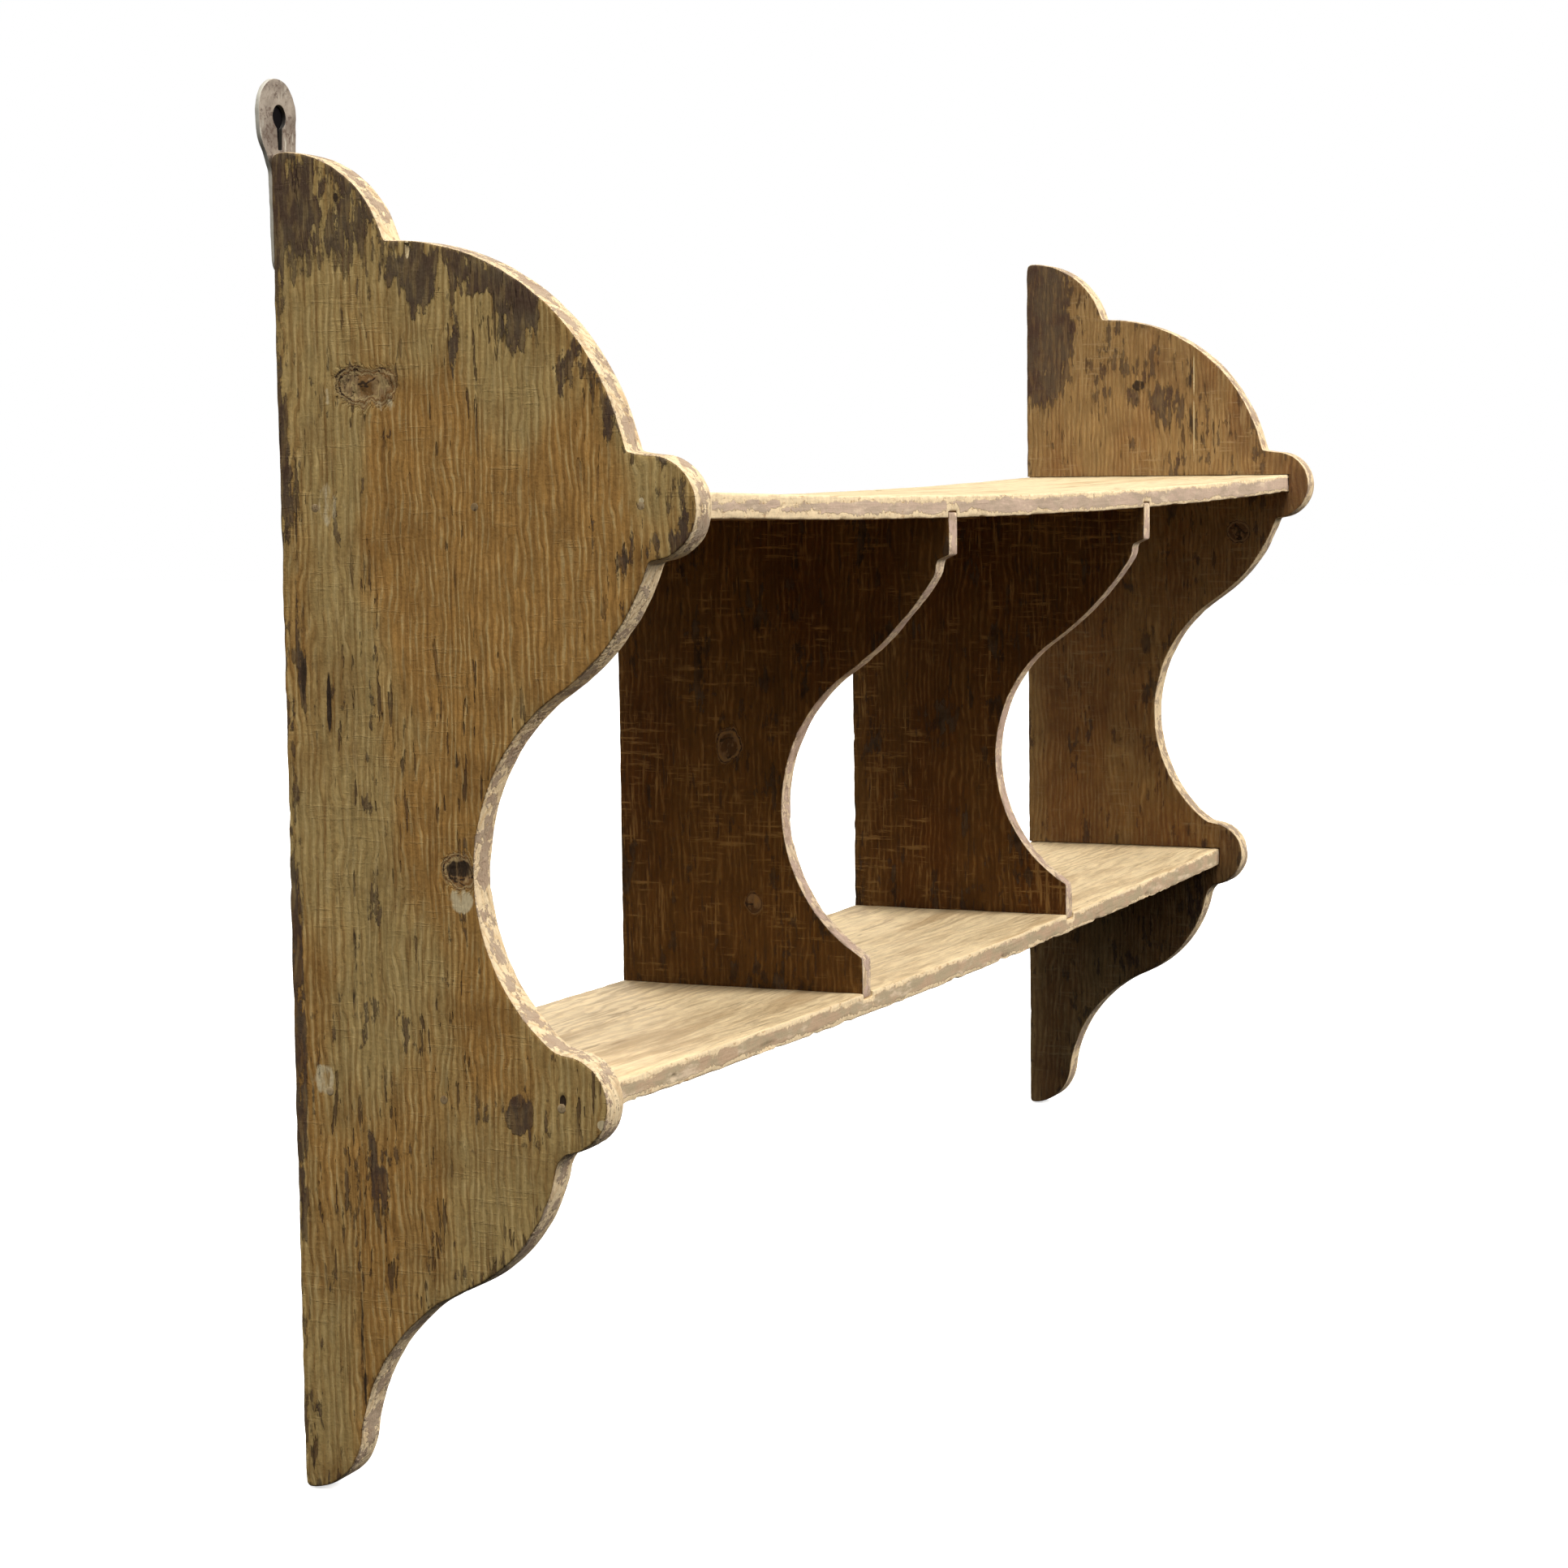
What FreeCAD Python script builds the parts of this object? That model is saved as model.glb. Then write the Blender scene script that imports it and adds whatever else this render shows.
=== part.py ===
# Old pine wall shelf. Two scalloped end boards carry two thin shelves, which have sagged a little
# with age. Two shaped dividers stand between the shelves and make three equal bays. Every board is
# let into its neighbour in a shallow housing and nailed. An iron keyhole plate, screwed to the back
# edge of the left end board, hangs the shelf on the wall.
#
# Frame, in millimetres: X runs along the shelves, +Y points into the wall, +Z is up, and the boards'
# back edges lie in Y = 0. The origin is the middle of the upper shelf's back edge. Sketches measure
# heights ("rise") from the end boards' tips and depths forward from the wall; each body's Placement
# then drops it by datum_rise.
import FreeCAD
import Part
import Sketcher
import math
import os

OUT_FOLDER = "parts"
V = FreeCAD.Vector

STRAIGHT, LOBE, HOLLOW = "straight", "lobe", "hollow"

# Driving dimensions, poured into the sheet "Sizes" under these names.
SIZES = {
    "inner_span": 1040.0,
    "end_thick": 18.0,
    "board_thick": 13.0,
    "datum_rise": 475.0,
    "housing_depth": 5.0,
    "upper_shelf_rise": 475.5,
    "upper_shelf_depth": 207.0,
    "upper_shelf_sag": 7.0,
    "lower_shelf_rise": 193.0,
    "lower_shelf_depth": 153.5,
    "lower_shelf_sag": 6.0,
    "divider_offset": 175.5,
    "divider_housing": 3.5,
    "nail_shank_radius": 1.1,
    "nail_head_radius": 2.4,
    "nail_head_thick": 0.9,
    "nail_point": 4.0,
    "nail_length": 38.0,
    "nail_play": 0.05,
    "upper_end_nail_depth": 20.0,
    "upper_end_nail_pitch": 87.0,
    "lower_end_nail_depth": 20.0,
    "lower_end_nail_pitch": 63.5,
    "divider_top_nail_depth": 18.0,
    "divider_top_nail_pitch": 84.0,
    "divider_foot_nail_depth": 16.0,
    "divider_foot_nail_pitch": 60.0,
    "plate_thick": 2.5,
    "plate_hole_radius": 5.6,
    "plate_hole_rise": 668.2,
    "plate_hole_across": 9.4,
    "slot_top_width": 5.0,
    "slot_foot_width": 3.0,
    "slot_foot_rise": 652.6,
    "screw_head_radius": 3.4,
    "screw_head_cone": 1.8,
    "screw_shank_radius": 1.6,
    "screw_length": 22.0,
    "screw_point": 4.0,
    "screw_slot_width": 0.9,
    "screw_slot_depth": 0.7,
    "screw_rise": 604.0,
    "screw_pitch": 22.0,
}
NAILS_PER_JOINT = 3
SCREWS_IN_PLATE = 2
SMALLEST_CUT = 1e-6

# A board's front outline, from its top back corner down and round to its bottom back corner:
# corner, depth, rise, shape of the run that starts there, and the depth of that run's arc centre.
END_OUTLINE = (
    ("top_back", 0.0, 647.1, LOBE, 4.0),
    ("crown", 4.0, 651.1, LOBE, 4.0),
    ("nick_one", 61.0, 607.3, LOBE, 62.7),
    ("nick_two", 186.8, 507.0, STRAIGHT, None),
    ("nose_one_top", 196.0, 505.6, LOBE, 197.5),
    ("nose_one_root", 197.5, 456.2, LOBE, 89.2),
    ("belly", 150.5, 395.5, HOLLOW, 205.7),
    ("nick_three", 144.0, 226.0, STRAIGHT, None),
    ("nose_two_top", 147.0, 225.4, LOBE, 147.5),
    ("nose_two_root", 149.0, 177.4, STRAIGHT, None),
    ("nick_four", 144.2, 172.0, LOBE, 58.4),
    ("shin", 91.0, 105.6, HOLLOW, 132.3),
    ("ankle", 34.0, 33.0, LOBE, 2.0),
    ("tip", 3.0, 0.0, LOBE, 3.0),
    ("tip_back", 0.0, 3.0, STRAIGHT, None),
)
DIVIDER_OUTLINE = (
    ("front_top", 207.0, 472.8, STRAIGHT, None),
    ("lip", 207.0, 449.0, STRAIGHT, None),
    ("step", 199.5, 446.0, STRAIGHT, None),
    ("neck", 198.5, 438.5, LOBE, 33.8),
    ("waist", 141.0, 380.0, HOLLOW, 198.3),
    ("heel", 152.5, 221.0, STRAIGHT, None),
    ("foot", 152.5, 197.2, STRAIGHT, None),
    ("foot_back", 0.0, 197.2, STRAIGHT, None),
    ("top_back", 0.0, 472.8, STRAIGHT, None),
)
# The iron plate seen from the front, anticlockwise: X from the end board's outer face, rise, shape
# of the run that starts there, and the X of that run's arc centre.
PLATE_OUTLINE = (
    ("head_top", 8.0, 686.2, LOBE, 8.0),
    ("head_left", -8.3, 667.5, LOBE, 13.0),
    ("chin_left", -3.2, 651.0, STRAIGHT, None),
    ("neck_left", 1.4, 642.0, STRAIGHT, None),
    ("tail_left", 2.6, 600.0, LOBE, 9.0),
    ("tail_end", 9.0, 593.6, LOBE, 9.0),
    ("tail_right", 15.4, 600.0, STRAIGHT, None),
    ("neck_right", 15.4, 632.0, STRAIGHT, None),
    ("chin_right", 23.2, 646.0, STRAIGHT, None),
    ("head_right", 24.4, 669.0, LOBE, 8.0),
)


def sheet_cells():
    """Every driving number by name: the sizes, then the corners of the three outlines."""
    cells = dict(SIZES)
    outlines = {"end": END_OUTLINE, "divider": DIVIDER_OUTLINE, "plate": PLATE_OUTLINE}
    for board, outline in outlines.items():
        for corner, across, rise, _, centre in outline:
            cells[f"{board}_{corner}_across"] = across
            cells[f"{board}_{corner}_rise"] = rise
            if centre is not None:
                cells[f"{board}_{corner}_centre"] = centre
    return cells


def make_sheet(doc):
    """Write the driving numbers into the spreadsheet, one aliased cell each."""
    sheet = doc.addObject("Spreadsheet::Sheet", "Sizes")
    for row, (name, value) in enumerate(sheet_cells().items(), start=1):
        sheet.set(f"A{row}", name)
        sheet.set(f"B{row}", str(value))
        sheet.setAlias(f"B{row}", name)
    doc.recompute()


class Length:
    """A length that knows both its value and the expression that reads it from the sheet."""

    def __init__(self, value, text):
        self.value = value
        self.text = text

    @classmethod
    def of(cls, other):
        """The length itself, or a plain number as a length."""
        return other if isinstance(other, cls) else cls(other, repr(other))

    def __add__(self, other):
        other = Length.of(other)
        return Length(self.value + other.value, f"({self.text} + {other.text})")

    def __sub__(self, other):
        other = Length.of(other)
        return Length(self.value - other.value, f"({self.text} - {other.text})")

    def __mul__(self, other):
        other = Length.of(other)
        return Length(self.value * other.value, f"({self.text} * {other.text})")

    def __truediv__(self, other):
        other = Length.of(other)
        return Length(self.value / other.value, f"({self.text} / {other.text})")

    def __neg__(self):
        return self * -1


CELLS = sheet_cells()
ZERO = Length(0.0, "0")


def cell(name):
    """A named cell of the sheet as a length."""
    return Length(CELLS[name], f"Sizes.{name}")


def origin_feature(body, role):
    """The body's own origin plane or axis with that role."""
    return next(item for item in body.Origin.OriginFeatures if item.Role == role)


def new_body(doc, name):
    """An empty body whose name is also its label and its file's name."""
    body = doc.addObject("PartDesign::Body", name)
    body.Label = name
    return body


def new_sketch(body, name, role, lift=ZERO):
    """A sketch on one of the body's origin planes, lifted along the plane's normal."""
    sketch = body.newObject("Sketcher::SketchObject", name)
    sketch.AttachmentSupport = [(origin_feature(body, role), "")]
    sketch.MapMode = "FlatFace"
    sketch.setExpression("AttachmentOffset.Base.z", lift.text)
    return sketch


def bind(sketch, name, expression, *constraint):
    """Add a named constraint and bind its value to the sheet."""
    index = sketch.addConstraint(Sketcher.Constraint(*constraint))
    sketch.renameConstraint(index, name)
    sketch.setExpression(f"Constraints.{name}", expression)


def pin_point(sketch, name, geometry, point, across, up):
    """Bind both sketch coordinates of a point of the geometry."""
    bind(sketch, f"{name}_across", across.text, "DistanceX", -1, 1, geometry, point, across.value)
    bind(sketch, f"{name}_up", up.text, "DistanceY", -1, 1, geometry, point, up.value)


def centre_across(start, end, across):
    """The centre, at that x, of a circle through both points."""
    squares = (start.x - across) ** 2 - (end.x - across) ** 2 + start.y ** 2 - end.y ** 2
    return V(across, squares / (2 * (start.y - end.y)), 0)


def centre_beside(start, end, radius, shape):
    """The centre of a flat arc of that radius: left of a lobe's way, right of a hollow's."""
    chord = end - start
    side = 1 if shape == LOBE else -1
    normal = V(-chord.y, chord.x, 0).normalize() * side
    return (start + end) / 2 + normal * math.sqrt(radius ** 2 - chord.Length ** 2 / 4)


def arc_between(start, end, centre, shape):
    """The arc from start to end; a hollow runs clockwise, so its own ends are swapped."""
    first, last = (start, end) if shape == LOBE else (end, start)
    begin = math.atan2(first.y - centre.y, first.x - centre.x)
    finish = math.atan2(last.y - centre.y, last.x - centre.x)
    if finish <= begin:
        finish += 2 * math.pi
    circle = Part.Circle(centre, V(0, 0, 1), start.distanceToPoint(centre))
    return Part.ArcOfCircle(circle, begin, finish)


def draw_runs(sketch, runs):
    """Draw a closed outline of lines and arcs, every corner bound to the sheet.

    Args:
        sketch: the sketch to draw in.
        runs: one (name, across, up, shape, bend) per corner, for the run that starts there. bend is
            None for a line, ("centre", length) or ("radius", length) for an arc.
    """
    points = [V(across.value, up.value, 0) for _, across, up, _, _ in runs]
    joints = []
    for index, (name, across, up, shape, bend) in enumerate(runs):
        start, end = points[index], points[(index + 1) % len(runs)]
        if bend is None:
            geometry = sketch.addGeometry(Part.LineSegment(start, end))
        elif bend[0] == "centre":
            middle = centre_across(start, end, bend[1].value)
            geometry = sketch.addGeometry(arc_between(start, end, middle, shape))
            bind(sketch, f"{name}_centre", bend[1].text, "DistanceX", -1, 1, geometry, 3, middle.x)
        else:
            middle = centre_beside(start, end, bend[1].value, shape)
            geometry = sketch.addGeometry(arc_between(start, end, middle, shape))
            bind(sketch, f"{name}_radius", bend[1].text, "Radius", geometry, bend[1].value)
        first, last = (2, 1) if shape == HOLLOW else (1, 2)
        pin_point(sketch, name, geometry, first, across, up)
        joints.append((geometry, first, last))
    for (geometry, _, last), (following, first, _) in zip(joints, joints[1:] + joints[:1]):
        sketch.addConstraint(Sketcher.Constraint("Coincident", geometry, last, following, first))


def draw_table(sketch, board, outline, forward):
    """Draw one of the outline tables; forward is -1 where depths run to the sketch's -X."""
    runs = []
    for corner, _, _, shape, centre in outline:
        name = f"{board}_{corner}"
        bend = None if centre is None else ("centre", cell(f"{name}_centre") * forward)
        across = cell(f"{name}_across") * forward
        runs.append((corner, across, cell(f"{name}_rise"), shape, bend))
    draw_runs(sketch, runs)


def draw_polygon(sketch, corners):
    """Draw a closed outline of straight lines through (across, up) corners."""
    draw_runs(sketch, [(f"corner{number}", across, up, STRAIGHT, None)
                       for number, (across, up) in enumerate(corners, start=1)])


def draw_rectangle(sketch, left, right, low, high):
    """Draw a rectangle between four lengths."""
    draw_polygon(sketch, ((left, low), (right, low), (right, high), (left, high)))


def draw_circles(sketch, radius, places):
    """Draw a circle of the same radius at each (across, up) place."""
    for number, (across, up) in enumerate(places, start=1):
        circle = Part.Circle(V(across.value, up.value, 0), V(0, 0, 1), radius.value)
        geometry = sketch.addGeometry(circle)
        pin_point(sketch, f"centre{number}", geometry, 3, across, up)
        bind(sketch, f"radius{number}", radius.text, "Radius", geometry, radius.value)


def add_feature(body, kind, name, sketch, length, reversed_way):
    """Add a pad or pocket of a sketch and check that it really changed the body's solid."""
    before = body.Shape.Volume if body.Tip is not None else 0.0
    feature = body.newObject(f"PartDesign::{kind}", name)
    feature.Profile = sketch
    feature.Reversed = reversed_way
    feature.setExpression("Length", length.text)
    body.Document.recompute()
    if abs(feature.Shape.Volume - before) < SMALLEST_CUT:
        raise RuntimeError(f"{body.Label}: {name} changes nothing")
    return feature


def pad(body, name, sketch, length, along=True):
    """Pad a sketch along its normal, or against it."""
    return add_feature(body, "Pad", name, sketch, length, not along)


def pocket(body, name, sketch, length, along):
    """Cut a sketch's outline out along its normal, or against it."""
    return add_feature(body, "Pocket", name, sketch, length, along)


def nail_depths(joint):
    """Where a joint's nails lie on the Y axis: rows that run forward from the wall."""
    first, pitch = cell(f"{joint}_nail_depth"), cell(f"{joint}_nail_pitch")
    return [-(first + pitch * number) for number in range(NAILS_PER_JOINT)]


def shelf_level(shelf, part):
    """A height at the shelf's housed ends: its underside raised by part of its thickness."""
    return cell(f"{shelf}_shelf_rise") + cell("board_thick") * part


def sag_at_divider(shelf):
    """How far the shelf hangs below its ends where a divider meets it."""
    span = cell("divider_offset") * 2 / cell("inner_span")
    return cell(f"{shelf}_shelf_sag") * (Length(1.0, "1") - span * span)


def bore_shanks(body, name, role, places, lift, depth, along):
    """Bore the nails' shank holes from the face at that lift."""
    sketch = new_sketch(body, f"{name}_shank_plan", role, lift)
    draw_circles(sketch, cell("nail_shank_radius") + cell("nail_play"), places)
    pocket(body, f"{name}_shanks", sketch, depth, along)


def seat_heads(body, name, role, places, lift, depth, along):
    """Sink flat seats for the nails' heads below the face at that lift."""
    sketch = new_sketch(body, f"{name}_head_plan", role, lift)
    draw_circles(sketch, cell("nail_head_radius") + cell("nail_play"), places)
    pocket(body, f"{name}_heads", sketch, depth, along)


def end_board(doc, name, is_left):
    """A scalloped end board with the shelves' stopped housings and its nail holes."""
    body = new_body(doc, name)
    outline = new_sketch(body, "outline", "YZ_Plane")
    draw_table(outline, "end", END_OUTLINE, forward=-1)
    thick = cell("end_thick")
    pad(body, "board", outline, thick)
    inner, outer = (thick, ZERO) if is_left else (ZERO, thick)
    for shelf in ("upper", "lower"):
        housing = new_sketch(body, f"{shelf}_housing_plan", "YZ_Plane", inner)
        draw_rectangle(housing, -cell(f"{shelf}_shelf_depth"), ZERO,
                       shelf_level(shelf, 0), shelf_level(shelf, 1))
        pocket(body, f"{shelf}_housing", housing, cell("housing_depth"), not is_left)
        places = [(depth, shelf_level(shelf, 0.5)) for depth in nail_depths(f"{shelf}_end")]
        bore_shanks(body, shelf, "YZ_Plane", places, outer, thick, is_left)
        seat_heads(body, shelf, "YZ_Plane", places, outer, cell("nail_head_thick"), is_left)
    if is_left:
        pilots = new_sketch(body, "plate_pilot_plan", "XZ_Plane")
        draw_circles(pilots, cell("screw_shank_radius") + cell("nail_play"), screw_places())
        pocket(body, "plate_pilots", pilots, cell("screw_length") - cell("plate_thick"), True)
    place_left = -cell("inner_span") / 2 - thick
    set_base(body, place_left if is_left else cell("inner_span") / 2)
    return body


def set_base(body, across, depth=ZERO, rise=ZERO):
    """Bind a body's Placement; rises are given from the end boards' tips."""
    body.setExpression("Placement.Base.x", across.text)
    body.setExpression("Placement.Base.y", depth.text)
    body.setExpression("Placement.Base.z", (rise - cell("datum_rise")).text)


def draw_sagged_section(sketch, shelf):
    """Draw a shelf's long section: short level ends for the housings and two flat arcs between."""
    span, sag = cell("inner_span"), cell(f"{shelf}_shelf_sag")
    bend = ("radius", (span * span / 4 + sag * sag) / (sag * 2))
    half = span / 2
    end = half + cell("housing_depth")
    low, high = shelf_level(shelf, 0), shelf_level(shelf, 1)
    draw_runs(sketch, (
        ("left_low", -end, low, STRAIGHT, None),
        ("underside", -half, low, LOBE, bend),
        ("right_inner_low", half, low, STRAIGHT, None),
        ("right_low", end, low, STRAIGHT, None),
        ("right_high", end, high, STRAIGHT, None),
        ("topside", half, high, HOLLOW, bend),
        ("left_inner_high", -half, high, STRAIGHT, None),
        ("left_high", -end, high, STRAIGHT, None),
    ))


def shelf_board(doc, name, shelf, joint, dividers_on_top):
    """A sagged shelf with the dividers' housings and all the nail holes that reach it.

    Args:
        doc: the document.
        name: the shelf's node name.
        shelf: "upper" or "lower".
        joint: the divider joint whose nails go through this shelf.
        dividers_on_top: True where the dividers stand on this shelf, False where they hang under.
    """
    body = new_body(doc, name)
    section = new_sketch(body, "section", "XZ_Plane")
    draw_sagged_section(section, shelf)
    depth, thick = cell(f"{shelf}_shelf_depth"), cell("board_thick")
    pad(body, "board", section, depth)

    housed, driven = (1, 0) if dividers_on_top else (0, 1)
    towards_divider = 1 if dividers_on_top else -1
    sag = sag_at_divider(shelf)
    seat = shelf_level(shelf, housed) - sag - cell("divider_housing") * towards_divider
    clear = shelf_level(shelf, housed) + thick * towards_divider
    low, high = (seat, clear) if dividers_on_top else (clear, seat)
    for side, word in ((-1, "left"), (1, "right")):
        middle = cell("divider_offset") * side
        housing = new_sketch(body, f"{word}_housing_plan", "XZ_Plane")
        draw_rectangle(housing, middle - thick / 2, middle + thick / 2, low, high)
        pocket(body, f"{word}_housing", housing, depth, True)

    end = cell("inner_span") / 2 + cell("housing_depth")
    reach = cell("nail_length") - cell("end_thick") + cell("housing_depth")
    places = [(row, shelf_level(shelf, 0.5)) for row in nail_depths(f"{shelf}_end")]
    bore_shanks(body, "left_end", "YZ_Plane", places, -end, reach, True)
    bore_shanks(body, "right_end", "YZ_Plane", places, end, reach, False)

    places = [(cell("divider_offset") * side, row) for side in (-1, 1) for row in nail_depths(joint)]
    skin = shelf_level(shelf, driven) - sag
    bore_shanks(body, "divider", "XY_Plane", places, skin, thick, dividers_on_top)
    # The sagged face isn't quite level, so the seats' cut starts a head's thickness outside it.
    head = cell("nail_head_thick")
    seat_heads(body, "divider", "XY_Plane", places, skin - head * towards_divider, head * 2,
               dividers_on_top)
    set_base(body, ZERO)
    return body


def divider_board(doc, name, side):
    """A shaped divider with blind nail holes in its top and foot."""
    body = new_body(doc, name)
    outline = new_sketch(body, "outline", "YZ_Plane")
    draw_table(outline, "divider", DIVIDER_OUTLINE, forward=-1)
    thick = cell("board_thick")
    pad(body, "board", outline, thick)
    reach = cell("nail_length") - thick + cell("divider_housing")
    for joint, corner, upward in (("divider_top", "front_top", False),
                                  ("divider_foot", "foot", True)):
        places = [(thick / 2, row) for row in nail_depths(joint)]
        bore_shanks(body, joint, "XY_Plane", places, cell(f"divider_{corner}_rise"), reach, upward)
    set_base(body, cell("divider_offset") * side - thick / 2)
    return body


def screw_places():
    """The plate's screws, from the end board's outer face and from the tips, lowest first."""
    return [(cell("end_thick") / 2, cell("screw_rise") + cell("screw_pitch") * number)
            for number in range(SCREWS_IN_PLATE)]


def rim_edges(shape, radius, depth):
    """Names of a shape's whole circular edges of that radius that lie at that Y."""
    names = []
    for number, edge in enumerate(shape.Edges, start=1):
        curve = edge.Curve
        if isinstance(curve, Part.Circle) and abs(curve.Radius - radius) < SMALLEST_CUT:
            if edge.isClosed() and abs(curve.Center.y - depth) < SMALLEST_CUT:
                names.append(f"Edge{number}")
    return names


def hanging_plate(doc):
    """The iron keyhole plate: a round hole over a tapering slot, and countersunk screw holes."""
    body = new_body(doc, "hanging_plate")
    outline = new_sketch(body, "outline", "XZ_Plane")
    draw_table(outline, "plate", PLATE_OUTLINE, forward=1)
    thick = cell("plate_thick")
    pad(body, "plate", outline, thick, along=False)

    middle, rise = cell("plate_hole_across"), cell("plate_hole_rise")
    hole = new_sketch(body, "hole_plan", "XZ_Plane")
    draw_circles(hole, cell("plate_hole_radius"), [(middle, rise)])
    pocket(body, "hole", hole, thick, False)
    slot = new_sketch(body, "slot_plan", "XZ_Plane")
    foot, top, foot_rise = cell("slot_foot_width"), cell("slot_top_width"), cell("slot_foot_rise")
    draw_polygon(slot, ((middle - foot / 2, foot_rise), (middle + foot / 2, foot_rise),
                        (middle + top / 2, rise), (middle - top / 2, rise)))
    pocket(body, "slot", slot, thick, False)

    shank = cell("screw_shank_radius") + cell("nail_play")
    screws = new_sketch(body, "screw_plan", "XZ_Plane")
    draw_circles(screws, shank, screw_places())
    drilled = pocket(body, "screw_holes", screws, thick, False)
    sinks = body.newObject("PartDesign::Chamfer", "countersinks")
    sinks.Base = (drilled, rim_edges(drilled.Shape, shank.value, thick.value))
    sinks.setExpression("Size", cell("screw_head_cone").text)
    doc.recompute()
    set_base(body, -cell("inner_span") / 2 - cell("end_thick"))
    return body


def turned_row(doc, name, profile, turn, pitch, count, slot_width=None, slot_depth=None):
    """Turn one nail or screw, pointing down its own -Z, and repeat it along its own Y.

    Args:
        doc: the document.
        name: the row's node name.
        profile: (radius, height) corners of half the nail's section.
        turn: the rotation that points it into the wood.
        pitch: spacing along the body's own -Y.
        count: how many there are.
        slot_width: width of the driver's slot, None on a nail.
        slot_depth: depth of the driver's slot.
    """
    body = new_body(doc, name)
    section = new_sketch(body, "section", "XZ_Plane")
    draw_polygon(section, profile)
    shank = body.newObject("PartDesign::Revolution", "turned")
    shank.Profile = section
    shank.ReferenceAxis = (section, ["V_Axis"])
    shank.Angle = 360
    doc.recompute()
    made = [shank]
    if slot_width is not None:
        cut = new_sketch(body, "slot_plan", "XY_Plane")
        reach = profile[1][0]
        draw_rectangle(cut, -slot_width / 2, slot_width / 2, -reach, reach)
        made.append(pocket(body, "slot", cut, slot_depth, False))
    row = body.newObject("PartDesign::LinearPattern", "row")
    row.Originals = made
    row.Direction = (origin_feature(body, "Y_Axis"), [""])
    row.Reversed = True
    row.setExpression("Length", (pitch * (count - 1)).text)
    row.Occurrences = count
    body.Tip = row
    doc.recompute()
    body.Placement.Rotation = turn
    return body


def nail_row(doc, name, joint, turn, across, rise):
    """A joint's row of flat-headed nails, driven in from (across, rise)."""
    head, thick = cell("nail_head_radius"), cell("nail_head_thick")
    shank, length = cell("nail_shank_radius"), cell("nail_length")
    profile = ((ZERO, ZERO), (head, ZERO), (head, -thick), (shank, -thick),
               (shank, cell("nail_point") - length), (ZERO, -length))
    body = turned_row(doc, name, profile, turn, cell(f"{joint}_nail_pitch"), NAILS_PER_JOINT)
    set_base(body, across, -cell(f"{joint}_nail_depth"), rise)
    return body


def plate_screws(doc):
    """The two slotted countersunk screws that hold the plate, driven in from the wall side."""
    head, cone = cell("screw_head_radius"), cell("screw_head_cone")
    shank, length = cell("screw_shank_radius"), cell("screw_length")
    profile = ((ZERO, ZERO), (head, ZERO), (shank, -cone),
               (shank, cell("screw_point") - length), (ZERO, -length))
    into_board = FreeCAD.Rotation(V(1, 0, 0), -90)
    body = turned_row(doc, "plate_screws", profile, into_board, cell("screw_pitch"),
                      SCREWS_IN_PLATE, cell("screw_slot_width"), cell("screw_slot_depth"))
    across = -cell("inner_span") / 2 - cell("end_thick") / 2
    set_base(body, across, cell("plate_thick"), cell("screw_rise"))
    return body


def all_nails(doc):
    """The eight rows of nails: two shelves into two end boards, two dividers into two shelves."""
    rows = []
    outer = cell("inner_span") / 2 + cell("end_thick")
    for shelf in ("upper", "lower"):
        for word, side in (("left", -1), ("right", 1)):
            inward = FreeCAD.Rotation(V(0, 1, 0), 90 * side)
            rows.append(nail_row(doc, f"{word}_{shelf}_end_nails", f"{shelf}_end", inward,
                                 outer * side, shelf_level(shelf, 0.5)))
    for word, side in (("left", -1), ("right", 1)):
        across = cell("divider_offset") * side
        top = shelf_level("upper", 1) - sag_at_divider("upper")
        foot = shelf_level("lower", 0) - sag_at_divider("lower")
        rows.append(nail_row(doc, f"{word}_divider_top_nails", "divider_top",
                             FreeCAD.Rotation(), across, top))
        rows.append(nail_row(doc, f"{word}_divider_foot_nails", "divider_foot",
                             FreeCAD.Rotation(V(0, 1, 0), 180), across, foot))
    return rows


def check(doc, bodies):
    """Stop unless every object is healthy and every node's shape is valid and closed."""
    for item in doc.Objects:
        if {"Invalid", "Error"} & set(item.State):
            raise RuntimeError(f"{item.Name}: {item.State}")
        if item.isDerivedFrom("Sketcher::SketchObject") and item.solve() != 0:
            raise RuntimeError(f"{item.Name} does not solve")
    for body in bodies:
        shape = body.Shape
        if shape.isNull() or not shape.isValid() or not shape.Solids:
            raise RuntimeError(f"{body.Label} has no valid solid")


def main():
    """Build every board, nail and plate, check them, and write one STEP file per node."""
    doc = FreeCAD.newDocument("wall_shelf")
    make_sheet(doc)
    bodies = [
        end_board(doc, "left_end_board", is_left=True),
        end_board(doc, "right_end_board", is_left=False),
        shelf_board(doc, "upper_shelf", "upper", "divider_top", dividers_on_top=False),
        shelf_board(doc, "lower_shelf", "lower", "divider_foot", dividers_on_top=True),
        divider_board(doc, "left_divider", -1),
        divider_board(doc, "right_divider", 1),
        hanging_plate(doc),
        plate_screws(doc),
        *all_nails(doc),
    ]
    doc.recompute()
    check(doc, bodies)
    os.makedirs(OUT_FOLDER, exist_ok=True)
    for body in bodies:
        body.Shape.exportStep(os.path.join(OUT_FOLDER, f"{body.Label}.step"))
        box = body.Shape.BoundBox
        print(f"{body.Label}: {len(body.Shape.Solids)} solid(s), {body.Shape.Volume:.0f} mm3, "
              f"X {box.XMin:.1f}..{box.XMax:.1f} Y {box.YMin:.1f}..{box.YMax:.1f} "
              f"Z {box.ZMin:.1f}..{box.ZMax:.1f}")


main()
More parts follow.
